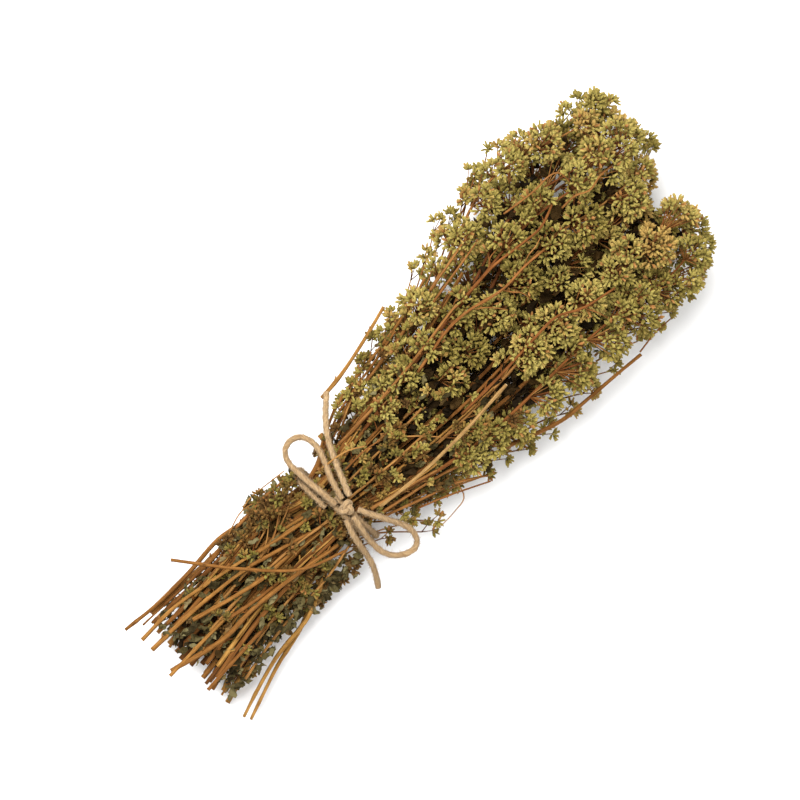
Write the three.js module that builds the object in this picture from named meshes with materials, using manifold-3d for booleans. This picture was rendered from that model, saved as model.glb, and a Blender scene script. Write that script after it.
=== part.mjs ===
// Dried oregano bundle: cut stems with their leafy shoots and flowering heads, tied with jute twine.
// Millimetres. +X runs from the tie to the heads, +Z is up, and z = 0 is the surface it lies on.
import * as THREE from 'three';
import { mergeVertices } from 'three/addons/utils/BufferGeometryUtils.js';
import Module from 'manifold-3d';

const wasm = await Module();
wasm.setup();

// Counts of the repeated pieces
const SPRIG_COUNT = 21;
const SHOOT_COUNT = 6;
const HOME_COUNT = SPRIG_COUNT + SHOOT_COUNT;

// Sections: stems are square, and half their diagonal is given
const STEM_RADIUS = 1.25;
const STEM_STEPS = 7;
const RACHIS_RADIUS = 1.1;
const SHOOT_RADIUS = 0.8;
const TWINE_RADIUS = 1.35;
const TWINE_SIDES = 8;
const GAP = 0.3;

// Outline of the bundle at stations along X: its left and right edges, its underside and its top,
// and the skin, which is how far the florets stand out past the outermost stems
const OUTLINE = [
  { x: -100, left: 30, right: -28, low: -1.4, top: 37, skin: 3.2 },
  { x: -60, left: 29, right: -21, low: -1.4, top: 37, skin: 3.2 },
  { x: -28, left: 28.6, right: -20.2, low: 0.6, top: 37, skin: 3.6 },
  { x: -12, left: 21.7, right: -17.9, low: 5.2, top: 35.5, skin: 3.4 },
  { x: 2, left: 21, right: -17.4, low: 5.5, top: 35, skin: 3.2 },
  { x: 14, left: 27.5, right: -25, low: 3, top: 38, skin: 4.5 },
  { x: 30, left: 35, right: -34, low: 0, top: 45.5, skin: 6.2 },
  { x: 60, left: 42.5, right: -43, low: -2.5, top: 57, skin: 8 },
  { x: 100, left: 50, right: -51, low: -3, top: 68, skin: 9 },
  { x: 140, left: 63, right: -56, low: -3, top: 76, skin: 10 },
  { x: 165, left: 60, right: -57, low: -3, top: 76, skin: 10 },
  { x: 200, left: 48, right: -47, low: 2, top: 72, skin: 10 },
];

// Front of the heads: how far along X they reach at each place across
const FRONT = [
  { y: -60, x: 166 },
  { y: -50, x: 177 },
  { y: -41, x: 190 },
  { y: -23, x: 191 },
  { y: -6, x: 186 },
  { y: 4, x: 198 },
  { y: 37, x: 203 },
  { y: 50, x: 176 },
  { y: 65, x: 162 },
];

// The stems turn slowly round the bundle and wander together
const TWIST_PER_MM = 0.0022;
const WANDER_ACROSS = 0.045;
const WANDER_UP = 0.04;
const GOLDEN_ANGLE = Math.PI * (3 - Math.sqrt(5));

// The underside has spread where the bundle lies on it: this squares its round section off
const FLATTEN = 0.4;

// Each sprig has two stems, and these are their offsets from its home in the round section
const MAIN_OFFSET = { across: -0.062, up: -0.02 };
const SECOND_OFFSET = { across: 0.062, up: -0.02 };
const NO_OFFSET = { across: 0, up: 0 };
const SWAY = 0.014;

// Twine: the centre and half-axes of its winding round the waist
const WAIST = { y: 2.2, z: 20, across: 21.4, up: 16.6 };
const TIE_X = -4;
const KNOT = { x: -1, y: -2, z: 38.4 };

const STEM_BROWN = 0x96603a;
const STEM_PALE = 0xc9a15f;
const FLORET_GREEN = 0x96914f;
const LEAF_GREEN = 0x767355;
const TWINE_TAN = 0xc8a57d;

// Seeded draw from 0 to 1, the same for the same whole numbers
function draw(...keys) {
  let h = 0x811c9dc5;
  for (const key of keys) {
    h = Math.imul(h ^ (key + 0x9e37), 0x01000193);
    h ^= h >>> 15;
    h = Math.imul(h, 0x85ebca6b);
    h ^= h >>> 13;
  }
  h = Math.imul(h, 0xc2b2ae35);
  h ^= h >>> 16;
  return (h >>> 0) / 4294967296;
}

function between(low, high, ...keys) {
  return low + (high - low) * draw(...keys);
}

// Smooth value through a list of stations
function through(stations, along, field, at) {
  const last = stations.length - 1;
  let i = 0;
  while (i < last - 1 && at > stations[i + 1][along]) {
    i += 1;
  }
  const p0 = stations[Math.max(i - 1, 0)];
  const p1 = stations[i];
  const p2 = stations[i + 1];
  const p3 = stations[Math.min(i + 2, last)];
  const span = p2[along] - p1[along];
  const t = Math.min(Math.max((at - p1[along]) / span, 0), 1);
  const slope1 = ((p2[field] - p0[field]) / (p2[along] - p0[along])) * span;
  const slope2 = ((p3[field] - p1[field]) / (p3[along] - p1[along])) * span;
  const t2 = t * t;
  const t3 = t2 * t;
  return (
    (2 * t3 - 3 * t2 + 1) * p1[field] +
    (t3 - 2 * t2 + t) * slope1 +
    (3 * t2 - 2 * t3) * p2[field] +
    (t3 - t2) * slope2
  );
}

// The bundle's cross-section at x: centre, and half-width and half-height of its edge
function section(x) {
  const left = through(OUTLINE, 'x', 'left', x);
  const right = through(OUTLINE, 'x', 'right', x);
  const low = through(OUTLINE, 'x', 'low', x);
  const top = through(OUTLINE, 'x', 'top', x);
  return {
    y: (left + right) / 2,
    z: (low + top) / 2,
    across: (left - right) / 2,
    up: (top - low) / 2,
    skin: through(OUTLINE, 'x', 'skin', x),
  };
}

// Homes of the sprigs and shoots in a round cross-section, on a sunflower spiral
function home(index) {
  const radius = Math.sqrt((index + 0.5) / HOME_COUNT);
  const angle = index * GOLDEN_ANGLE + 0.6;
  return { u: radius * Math.cos(angle), v: radius * Math.sin(angle), radius };
}

// A place in the bundle: (u, v) in the round cross-section, carried along the shared flow to x
function flow(u, v, x) {
  const turn = TWIST_PER_MM * x;
  const across = u * Math.cos(turn) - v * Math.sin(turn);
  const up = u * Math.sin(turn) + v * Math.cos(turn);
  const wanderedAcross = across + WANDER_ACROSS * Math.sin(x / 21 + 4.5 * up);
  const wanderedUp = up + WANDER_UP * Math.sin(x / 26 + 4.5 * wanderedAcross + 1);
  const s = section(x);
  const spread = wanderedUp < 0 ? 1 + FLATTEN * wanderedAcross ** 2 : 1;
  return new THREE.Vector3(
    x,
    s.y + (s.across - s.skin) * wanderedAcross,
    s.z + (s.up - s.skin) * wanderedUp * spread,
  );
}

function flowLine(u, v, from, to, count, bend = () => [0, 0]) {
  const points = [];
  for (let i = 0; i <= count; i += 1) {
    const x = from + ((to - from) * i) / count;
    const [du, dv] = bend(x);
    points.push(flow(u + du, v + dv, x));
  }
  return points;
}

// Closed solid from a geometry whose shared corners are merged
function solid(geometry) {
  const bare = geometry.index ? geometry.toNonIndexed() : geometry.clone();
  bare.deleteAttribute('normal');
  bare.deleteAttribute('uv');
  const merged = mergeVertices(bare, 1e-4);
  return new wasm.Manifold(new wasm.Mesh({
    numProp: 3,
    vertProperties: new Float32Array(merged.attributes.position.array),
    triVerts: new Uint32Array(merged.index.array),
  }));
}

const BELOW_TABLE = solid(new THREE.BoxGeometry(800, 800, 100).translate(0, 0, -50));

// Join solids into one body, cut flat where it rests, and drop sealed hollows and scraps
function fuse(solids) {
  let body = solids[0];
  for (const piece of solids.slice(1)) {
    body = body.add(piece);
  }
  if (body.boundingBox().min[2] < 0) {
    body = body.subtract(BELOW_TABLE);
  }
  const pieces = body.decompose();
  pieces.sort((a, b) => b.volume() - a.volume());
  return pieces[0];
}

function geometryOf(body) {
  const mesh = body.getMesh();
  const geometry = new THREE.BufferGeometry();
  geometry.setAttribute('position', new THREE.BufferAttribute(new Float32Array(mesh.vertProperties), 3));
  geometry.setIndex(new THREE.BufferAttribute(new Uint32Array(mesh.triVerts), 1));
  return geometry;
}

function polygon(sides, radius, turn = 0) {
  const shape = new THREE.Shape();
  for (let i = 0; i < sides; i += 1) {
    const angle = turn + (i / sides) * Math.PI * 2;
    const point = [radius * Math.cos(angle), radius * Math.sin(angle)];
    if (i === 0) {
      shape.moveTo(...point);
    } else {
      shape.lineTo(...point);
    }
  }
  shape.closePath();
  return shape;
}

function tube(points, radius, sides, steps, turn = 0) {
  const extrudePath = new THREE.CatmullRomCurve3(points);
  return new THREE.ExtrudeGeometry(polygon(sides, radius, turn), { steps, extrudePath, bevelEnabled: false });
}

function stem(points, radius, steps) {
  return solid(tube(points, radius, 4, steps, Math.PI / 4));
}

// Room already taken, as spheres that each belong to one node
const ROOM_STEP = 2.5;
const taken = [];

function take(centre, radius, owner) {
  taken.push({ x: centre.x, y: centre.y, z: centre.z, radius, owner });
}

function takeLine(points, radius, owner) {
  for (let i = 0; i + 1 < points.length; i += 1) {
    const count = Math.ceil(points[i].distanceTo(points[i + 1]) / ROOM_STEP);
    for (let k = 0; k <= count; k += 1) {
      take(points[i].clone().lerp(points[i + 1], k / count), radius, owner);
    }
  }
}

function isFree(centre, radius, owner) {
  for (const other of taken) {
    if (other.owner !== owner) {
      const reach = radius + other.radius + GAP;
      const dx = centre.x - other.x;
      const dy = centre.y - other.y;
      const dz = centre.z - other.z;
      if (dx * dx + dy * dy + dz * dz < reach * reach) {
        return false;
      }
    }
  }
  return true;
}

// How far out a point is in the bundle's cross-section: 1 is the edge
function outness(point, margin) {
  const s = section(point.x);
  const across = (point.y - s.y) / (s.across - margin);
  const up = (point.z - s.z) / (s.up - margin);
  const spread = up < 0 ? 1 + FLATTEN * Math.min(across ** 2, 1) : 1;
  return Math.hypot(across, up / spread);
}

// The angle at which a point faces out of the bundle's cross-section
function outwardAngle(point) {
  const s = section(point.x);
  return Math.atan2((point.z - s.z) / s.up, (point.y - s.y) / s.across);
}

// Lumps of the flowering tuft: a cone that rises from the stem and opens into a dome of spikelets
function tuft(root, centre, radius, seed) {
  const axis = centre.clone().sub(root).normalize();
  const upright = new THREE.Quaternion().setFromUnitVectors(new THREE.Vector3(0, 1, 0), axis);
  const ringHeight = 0.36;
  const ringRadius = 0.93;
  const sides = 4;
  const corners = [root.clone().addScaledVector(axis, -1.2)];
  const place = (x, y, z, size) => new THREE.Vector3(x, y, z)
    .multiplyScalar(radius * size)
    .applyQuaternion(upright)
    .add(centre);
  for (const [height, offset] of [[-ringHeight, 0], [ringHeight, 0.5]]) {
    for (let i = 0; i < sides; i += 1) {
      const angle = ((i + offset) / sides) * Math.PI * 2;
      const size = between(0.72, 0.86, seed, i, offset * 2);
      corners.push(place(ringRadius * Math.cos(angle), height, ringRadius * Math.sin(angle), size));
    }
  }
  corners.push(place(0, 1, 0, 0.8));
  const faces = [];
  for (let i = 0; i < sides; i += 1) {
    const next = (i + 1) % sides;
    const upper = 1 + sides + i;
    const upperNext = 1 + sides + next;
    faces.push({ corners: [0, 1 + i, 1 + next], raised: false });
    faces.push({ corners: [1 + next, 1 + i, upper], raised: true });
    faces.push({ corners: [1 + next, upper, upperNext], raised: false });
    faces.push({ corners: [upperNext, upper, 1 + 2 * sides], raised: true });
  }
  const triangles = [];
  faces.forEach((face, number) => {
    const [a, b, c] = face.corners.map((corner) => corners[corner]);
    if (!face.raised) {
      triangles.push(a, b, c);
      return;
    }
    const middle = a.clone().add(b).add(c).divideScalar(3);
    const outward = middle.clone().sub(centre).normalize();
    const tip = centre.clone().addScaledVector(outward, radius * between(0.95, 1.15, seed, 50 + number));
    triangles.push(a, b, tip, b, c, tip, c, a, tip);
  });
  const geometry = new THREE.BufferGeometry().setFromPoints(triangles);
  return solid(geometry);
}

// A curled leaf: a thin blade that widens, folds along its midrib and bends up at the tip
function leaf(root, along, outward, length, width, seed) {
  const thickness = 0.8;
  const fold = between(-0.5, 0.5, seed, 1);
  const curl = between(-0.25, 0.3, seed, 2);
  const geometry = new THREE.BoxGeometry(1, 2, 1, 2, 1, 1).translate(0.5, 0, 0);
  const side = outward.clone().cross(along).normalize();
  const up = along.clone().cross(side).normalize();
  const position = geometry.attributes.position;
  for (let i = 0; i < position.count; i += 1) {
    const t = position.getX(i);
    const halfWidth = t < 0.25 ? 0.2 : t < 0.75 ? 0.5 : 0.12;
    const across = position.getY(i) * halfWidth * width;
    const rise = position.getZ(i) * thickness + across * fold + curl * t * t * length;
    const point = root.clone()
      .addScaledVector(along, t * length - 1)
      .addScaledVector(side, across)
      .addScaledVector(up, rise);
    position.setXYZ(i, point.x, point.y, point.z);
  }
  return solid(geometry);
}

// Twine, wound twice round the waist and knotted on top: the winding, the knot and its binding turn
function twineWinding() {
  const turns = 2;
  const points = [];
  const perTurn = 16;
  for (let i = 0; i <= turns * perTurn; i += 1) {
    const turn = i / perTurn;
    const angle = Math.PI / 2 + turn * Math.PI * 2 - 0.12;
    points.push(new THREE.Vector3(
      KNOT.x + 0.2 - 3.1 * turn,
      WAIST.y + WAIST.across * Math.cos(angle),
      WAIST.z + WAIST.up * Math.sin(angle),
    ));
  }
  const winding = solid(tube(points, TWINE_RADIUS, TWINE_SIDES, 32));
  const core = new THREE.SphereGeometry(1, 8, 6)
    .scale(4.2, 3.6, 2.7)
    .translate(KNOT.x, KNOT.y, KNOT.z);
  const binding = new THREE.TorusGeometry(2.2, TWINE_RADIUS, 6, 8)
    .rotateX(Math.PI / 2)
    .rotateZ(0.5)
    .translate(KNOT.x, KNOT.y, KNOT.z + 0.2);
  return fuse([winding, solid(core), solid(binding)]);
}

// Routes of the twine's free stretches, from the knot and back to it, or out to a cut end
const LOOP_LEFT = [
  [0.5, 2.1, 39.1], [2.1, 7.0, 39.4], [4.0, 12.0, 39.2], [6.7, 17.2, 37.8], [9.1, 23.1, 35.2],
  [9.5, 28.2, 33.0], [7.9, 32.4, 31.4], [4.2, 34.6, 30.5], [0.0, 34.0, 30.4], [-2.6, 31.3, 31.0],
  [-3.8, 27.3, 32.4], [-3.9, 21.2, 35.2], [-3.8, 17.4, 37.0], [-3.5, 13.6, 38.6], [-3.2, 8.0, 39.7],
  [-2.9, 2.3, 39.9],
];
const LOOP_RIGHT = [
  [1.7, -5.8, 38.9], [3.2, -9.6, 38.6], [4.9, -13.5, 37.6], [6.5, -17.0, 35.9], [7.9, -20.3, 33.8],
  [10.1, -26.3, 30.0], [9.5, -31.6, 27.6], [6.4, -34.5, 26.4], [1.8, -33.8, 26.2], [-2.8, -30.0, 27.2],
  [-4.9, -25.1, 29.0], [-4.9, -19.5, 32.0], [-4.4, -16.5, 34.2], [-3.6, -13.5, 36.2], [-2.8, -10.1, 37.9],
  [-1.9, -6.6, 39.0],
];
const TAIL_UP = [
  [3.5, 0.6, 39.6], [4.3, 2.4, 39.8], [5.2, 4.3, 39.8], [6.9, 8.0, 39.6], [8.7, 11.8, 39.1],
  [10.6, 15.5, 38.2], [12.6, 19.2, 37.1], [14.7, 22.8, 35.8], [17.1, 26.0, 34.6], [19.8, 29.0, 33.4],
  [22.4, 31.5, 32.3], [23.8, 32.7, 31.8], [25.2, 33.8, 31.4], [27.2, 35.5, 30.6], [29.2, 37.2, 29.8],
];
const TAIL_DOWN = [
  [-4.9, -5.1, 39.2], [-5.8, -7.3, 38.9], [-6.8, -9.6, 38.2], [-7.8, -12.0, 37.2], [-8.5, -14.5, 35.7],
  [-9.1, -17.0, 33.8], [-9.6, -19.5, 31.6], [-10.2, -21.7, 29.7], [-10.9, -23.9, 27.9], [-11.7, -26.1, 26.2],
  [-12.5, -27.6, 24.7], [-13.4, -29.1, 23.2], [-14.3, -30.6, 21.8], [-15.8, -32.6, 19.8],
  [-17.4, -34.6, 17.8],
];

function vectors(route) {
  return route.map((point) => new THREE.Vector3(...point));
}

// Loose stems that lie on the bundle or stand out of it
const LOOSE_STEMS = [
  {
    name: 'cross_stem',
    radius: 0.95,
    route: [[-67, 38, 35], [-50, 14, 39.5], [-33, -5, 39.6], [-14, -14, 36.5]],
  },
  {
    name: 'broken_stem',
    radius: 1.1,
    route: [[26, 37, 25.5], [39, 37.6, 29.5], [55, 40, 33], [72, 43.5, 34]],
  },
  {
    name: 'edge_stem',
    radius: 1.1,
    route: [[85, -43.5, 33], [100, -46, 34], [116, -48, 35], [130, -50, 35]],
  },
  {
    name: 'pale_stem',
    radius: 0.9,
    route: [[9, -12, 38], [29, -15, 44], [54, -16.5, 54], [82, -16.3, 62]],
  },
  {
    name: 'splayed_stem_1',
    radius: 1.1,
    route: [[-46, -20.8, 17], [-68, -22.6, 15], [-84, -26, 12], [-97, -29.6, 9]],
  },
  {
    name: 'splayed_stem_2',
    radius: 1,
    route: [[-52, -21.8, 12.5], [-70, -25.2, 10.5], [-84, -29.1, 8.5], [-96, -32.6, 6.5]],
  },
  {
    name: 'long_stem',
    radius: 1.1,
    route: [[-46, 28.9, 21], [-66, 29, 20], [-86, 30, 19], [-103, 32.6, 17]],
  },
];

// Shoots take these homes on the spiral, and the sprigs take the others
const shootHomes = [];
for (let k = 0; k < SHOOT_COUNT; k += 1) {
  shootHomes.push(14 + 2 * k);
}
const sprigHomes = [];
for (let index = 0; index < HOME_COUNT; index += 1) {
  if (!shootHomes.includes(index)) {
    sprigHomes.push(index);
  }
}

// Foot end of a stem: most are cut together, and some sit back
function footEnd(index, number) {
  const setBack = draw(index, number, 10) < 0.3 && number > 0;
  return setBack ? between(-82, -50, index, number, 11) : between(-98, -87, index, number, 12);
}

// One sprig's places: its stems' ends, where its flowering head starts and how far that reaches
function sprigPlan(index) {
  const at = home(index);
  const inner = at.radius < 0.5;
  const base = inner ? between(92, 112, index, 20) : between(15, 28, index, 21);
  const edge = flow(at.u, at.v, 180);
  const s = section(180);
  const rounding = 16 * Math.abs((edge.z - s.z) / s.up) ** 3;
  const tip = through(FRONT, 'y', 'x', edge.y) - 9 - rounding - between(0, 13, index, 22);
  return { index, ...at, inner, base, tip };
}

// A stem's own sway about its offset from the sprig's home
function wandering(index, number, offset) {
  const phase = between(0, 6.28, index, number, 30);
  return (x) => [
    offset.across + SWAY * Math.sin(x / 16 + phase),
    offset.up + SWAY * Math.cos(x / 19 + phase),
  ];
}

// Where a stem's straight stretches cross the plane at x
function crossing(points, x) {
  const ends = new THREE.CatmullRomCurve3(points).getSpacedPoints(STEM_STEPS);
  const after = ends.findIndex((point) => point.x > x);
  const [a, b] = [ends[after - 1], ends[after]];
  return a.clone().lerp(b, (x - a.x) / (b.x - a.x));
}

// A short square peg between two stems, which stands for the fibres that cling at the tie
function rung(from, to) {
  const length = from.distanceTo(to);
  const turn = Math.atan2(to.z - from.z, to.y - from.y);
  const middle = from.clone().lerp(to, 0.5);
  const peg = new THREE.BoxGeometry(1.1, length, 1.1)
    .rotateX(turn)
    .translate(middle.x, middle.y, middle.z);
  return solid(peg);
}

function stalk(plan) {
  const { index, u, v } = plan;
  const main = wandering(index, 0, MAIN_OFFSET);
  const second = wandering(index, 1, SECOND_OFFSET);
  const secondTop = plan.inner ? between(40, 70, index, 40) : between(34, 112, index, 41);
  const mainLine = flowLine(u, v, footEnd(index, 0), plan.base, 8, main);
  const secondLine = flowLine(u, v, footEnd(index, 1), secondTop, 9, second);
  takeLine(mainLine, STEM_RADIUS, index);
  takeLine(secondLine, STEM_RADIUS, `beside ${index}`);
  return fuse([
    stem(mainLine, STEM_RADIUS, STEM_STEPS),
    stem(secondLine, STEM_RADIUS, STEM_STEPS),
    rung(crossing(mainLine, TIE_X), crossing(secondLine, TIE_X)),
  ]);
}

// The flowering head: its own stem, with tufts put round it wherever there is still room
function headLine(plan) {
  const bend = wandering(plan.index, 0, MAIN_OFFSET);
  return flowLine(plan.u, plan.v, plan.base + GAP, plan.tip, 8, bend);
}

function isBarePatch(point) {
  return point.x < 50 && point.y < -11 && point.z > 22;
}

function roomFor(root, centre, radius, owner, ownTufts) {
  const front = through(FRONT, 'y', 'x', centre.y);
  const inside = outness(centre, radius * 0.75) <= 1
    && centre.z > radius * 0.55
    && centre.x + radius * 0.8 < front
    && centre.x > 12
    && !isBarePatch(centre);
  if (!inside || !isFree(centre, radius * 1.1, owner)) {
    return false;
  }
  const apart = ownTufts.every((other) => (
    centre.distanceTo(other.centre) > 0.8 * (radius + other.radius)
  ));
  const neck = root.clone().lerp(centre, 0.4);
  return apart && isFree(neck, radius * 0.4, owner);
}

// Tufts grow larger and stand wider apart toward the tip
function growth(x) {
  return Math.min(Math.max((x - 15) / 95, 0), 1);
}

function tuftSize(x) {
  return 5.2 + 5.2 * growth(x);
}

function tuftPlace(plan, number) {
  let x = plan.tip;
  for (let i = 0; i < number; i += 1) {
    x -= 11 + 6.5 * growth(x) + between(-2, 2, plan.index, i, 50);
  }
  return x;
}

// Small tufts that fill the room left between the others, anywhere along the head
function fillerPlace(plan, number) {
  return plan.tip - 8 - (plan.tip - plan.base - 16) * draw(plan.index, number, 57);
}

function placeTuft(plan, line, number, isFiller) {
  const { index } = plan;
  const x = isFiller ? fillerPlace(plan, number) : tuftPlace(plan, number);
  if (x < plan.base + 3 || (isFiller && plan.inner)) {
    return;
  }
  const [du, dv] = wandering(index, 0, MAIN_OFFSET)(x);
  const root = flow(plan.u + du, plan.v + dv, x);
  const ahead = flow(plan.u + du, plan.v + dv, x + 4).sub(root).normalize();
  const outAngle = outwardAngle(root);
  const isTip = number === 0;
  for (let attempt = 0; attempt < 26; attempt += 1) {
    const spread = (0.9 + attempt * 0.1) * (draw(index, number, attempt, 51) < 0.5 ? 1 : -1);
    const angle = outAngle + spread * between(0.35, 1, index, number, attempt, 52);
    const sideways = new THREE.Vector3(0, Math.cos(angle), Math.sin(angle));
    const lean = isTip
      ? between(0, 0.35, index, attempt, 53)
      : between(0.75, 1.15, index, number, attempt, 54);
    const axis = ahead.clone()
      .multiplyScalar(Math.cos(lean))
      .addScaledVector(sideways, Math.sin(lean))
      .normalize();
    const size = isFiller ? 0.8 * tuftSize(x) : tuftSize(x);
    const radius = size * (1 - attempt * 0.017) * between(0.88, 1.1, index, number, attempt, 55);
    const reach = radius * (isTip ? 0.75 : between(1.2, 1.7, index, number, attempt, 56));
    const centre = root.clone().addScaledVector(axis, reach);
    if (roomFor(root, centre, radius, index, line.tufts)) {
      const seed = index * 100 + number;
      line.tufts.push({ root, centre, radius, seed });
      take(centre, radius * 1.05, index);
      take(root.clone().lerp(centre, 0.4), radius * 0.4, index);
      return;
    }
  }
}

function head(line) {
  const steps = Math.max(3, Math.round(line.points.length * 0.8));
  return fuse([
    stem(line.points, RACHIS_RADIUS, steps),
    ...line.tufts.map((each) => tuft(each.root, each.centre, each.radius, each.seed)),
  ]);
}

// A leafy shoot between the stems: leaves along it, and small tufts toward its top
function shootLine(index) {
  const { u, v } = home(index);
  const bend = wandering(index, 0, NO_OFFSET);
  return flowLine(u, v, between(-86, -74, index, 60), between(38, 52, index, 61), 8, bend);
}

function shoot(index, points) {
  const { u, v } = home(index);
  const bend = wandering(index, 0, NO_OFFSET);
  const pieces = [stem(points, SHOOT_RADIUS, 6)];
  const own = [];
  const roomBeside = (centre, radius) => (
    centre.z > 0.6 * radius + 0.6
    && isFree(centre, radius, index)
    && own.every((other) => centre.distanceTo(other.centre) > 0.85 * (radius + other.radius))
  );
  const keep = (centre, radius) => {
    take(centre, radius, index);
    own.push({ centre, radius });
  };
  for (let number = 0; number < 8; number += 1) {
    const x = -75 + number * 15 + between(-3, 3, index, number, 62);
    if (x > -12 && x < 6) {
      continue;
    }
    const [du, dv] = bend(x);
    const root = flow(u + du, v + dv, x);
    const outAngle = outwardAngle(root);
    const isTuft = x > 12 || draw(index, number, 63) < 0.3;
    for (let attempt = 0; attempt < 20; attempt += 1) {
      const angle = outAngle + (0.3 + attempt * 0.08) * between(-1, 1, index, number, attempt, 64);
      const out = new THREE.Vector3(0, Math.cos(angle), Math.sin(angle));
      if (isTuft) {
        const radius = between(2.7, 3.7, index, number, attempt, 65);
        const axis = new THREE.Vector3(0.7, out.y * 0.72, out.z * 0.72).normalize();
        const centre = root.clone().addScaledVector(axis, radius * 1.25);
        if (roomBeside(centre, radius * 1.1) && !isBarePatch(centre)) {
          pieces.push(tuft(root, centre, radius, index * 100 + number));
          keep(centre, radius * 1.05);
          break;
        }
      } else {
        const length = between(7, 10, index, number, attempt, 66);
        const heading = draw(index, number, attempt, 67) < 0.7 ? 1 : -1;
        const along = new THREE.Vector3(0.82 * heading, out.y * 0.55, out.z * 0.55).normalize();
        const middle = root.clone().addScaledVector(along, length * 0.45);
        const tip = root.clone().addScaledVector(along, length * 0.85);
        if (roomBeside(middle, 2.4) && roomBeside(tip, 1.7)) {
          pieces.push(leaf(root, along, out, length, length * 0.55, index * 100 + number));
          keep(middle, 2.2);
          keep(tip, 1.6);
          break;
        }
      }
    }
  }
  return fuse(pieces);
}

const group = new THREE.Group();

function add(name, body, color, roughness = 0.9) {
  const material = new THREE.MeshStandardMaterial({ color, roughness, metalness: 0 });
  const mesh = new THREE.Mesh(geometryOf(body), material);
  mesh.name = name;
  group.add(mesh);
  return mesh;
}

function twoDigits(number) {
  return String(number).padStart(2, '0');
}

// Twine first, because everything else keeps clear of it
add('twine_wraps', twineWinding(), TWINE_TAN);
const bowRoutes = {
  bow_loop_left: LOOP_LEFT,
  bow_loop_right: LOOP_RIGHT,
  bow_tail_up: TAIL_UP,
  bow_tail_down: TAIL_DOWN,
};
for (const [name, route] of Object.entries(bowRoutes)) {
  const points = vectors(route);
  const steps = Math.ceil(new THREE.CatmullRomCurve3(points).getLength() / 7.6);
  add(name, solid(tube(points, TWINE_RADIUS, TWINE_SIDES, steps)), TWINE_TAN);
  takeLine(points, TWINE_RADIUS + 0.2, name);
}

for (const { name, radius, route } of LOOSE_STEMS) {
  const points = vectors(route);
  takeLine(points, radius, name);
  add(name, fuse([stem(points, radius, 5)]), name === 'pale_stem' ? STEM_PALE : STEM_BROWN);
}

const plans = sprigHomes.map(sprigPlan);
plans.forEach((plan, number) => {
  add(`stalk_${twoDigits(number + 1)}`, stalk(plan), STEM_BROWN);
});

const shootLines = shootHomes.map(shootLine);
shootLines.forEach((points, number) => takeLine(points, SHOOT_RADIUS, shootHomes[number]));
const headLines = plans.map((plan) => ({ points: headLine(plan), tufts: [] }));
headLines.forEach((line, number) => {
  takeLine(line.points, RACHIS_RADIUS, plans[number].index);
});
const MOST_TUFTS = 13;
const MOST_FILLERS = 3;
for (let number = 0; number < MOST_TUFTS + MOST_FILLERS; number += 1) {
  plans.forEach((plan, sprig) => placeTuft(plan, headLines[sprig], number, number >= MOST_TUFTS));
}

shootHomes.forEach((index, number) => {
  add(`shoot_${twoDigits(number + 1)}`, shoot(index, shootLines[number]), LEAF_GREEN);
});
headLines.forEach((line, number) => {
  add(`head_${twoDigits(number + 1)}`, head(line), FLORET_GREEN);
});

// The origin is at the middle of the bundle's footprint, on the surface it lies on
const bounds = new THREE.Box3();
for (const mesh of group.children) {
  if (!mesh.name.startsWith('bow_')) {
    bounds.union(new THREE.Box3().setFromObject(mesh));
  }
}
const middle = bounds.getCenter(new THREE.Vector3());
group.position.set(-middle.x, -middle.y, 0);

export default group;
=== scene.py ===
# %% [markdown]
# # A dried oregano bundle
# A bunch of dried oregano lies on a pale surface: cut woody stems on the left, a twine bow round its
# waist, and dense flowering heads on the right. The CAD model gives every piece its place. Each step
# below swaps one kind of CAD piece for a finer one of the same form.

# %% Load the frame
import math
import bpy
import numpy as np
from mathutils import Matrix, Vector


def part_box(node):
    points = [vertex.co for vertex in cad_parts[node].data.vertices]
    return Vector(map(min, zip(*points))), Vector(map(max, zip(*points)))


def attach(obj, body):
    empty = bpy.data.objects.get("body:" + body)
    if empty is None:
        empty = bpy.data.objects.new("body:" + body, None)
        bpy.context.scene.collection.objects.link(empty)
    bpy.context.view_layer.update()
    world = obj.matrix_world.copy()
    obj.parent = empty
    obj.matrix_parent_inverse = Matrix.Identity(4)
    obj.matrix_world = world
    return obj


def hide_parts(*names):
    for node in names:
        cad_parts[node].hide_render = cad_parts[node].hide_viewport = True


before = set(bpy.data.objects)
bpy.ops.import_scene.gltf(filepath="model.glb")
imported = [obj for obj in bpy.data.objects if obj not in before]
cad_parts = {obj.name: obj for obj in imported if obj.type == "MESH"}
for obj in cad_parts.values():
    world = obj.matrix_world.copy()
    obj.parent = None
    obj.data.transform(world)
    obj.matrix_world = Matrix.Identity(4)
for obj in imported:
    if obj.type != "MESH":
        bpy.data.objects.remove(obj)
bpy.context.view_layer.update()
MM = 0.001
print("CAD nodes:", len(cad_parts))

# %% [markdown]
# The bundle was laid out from its tie: x runs along it from the tie, y to its left and z up, in mm.
# The CAD model then moves the origin to the middle of the footprint. The middle of the twine's
# winding is known in both, so it gives that move.

# %% Where the tie is
WINDING_MIDDLE = (-2.537, 2.194)
winding_low, winding_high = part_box("twine_wraps")
SHIFT = np.array([
    (winding_low[0] + winding_high[0]) / 2 / MM - WINDING_MIDDLE[0],
    (winding_low[1] + winding_high[1]) / 2 / MM - WINDING_MIDDLE[1],
    0.0,
])


def to_row(points):
    """Points in mm from the tie, as metres in the frame's own axes."""
    return (np.asarray(points, float) + SHIFT) * MM


print("tie at", to_row([0, 0, 0]).round(4))

# %% [markdown]
# ## Camera
# The photo looks straight down with a long lens, and the bundle runs from the lower left to the upper
# right. Turning the camera about its own axis gives that slant, so the bundle stays where it is.

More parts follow.
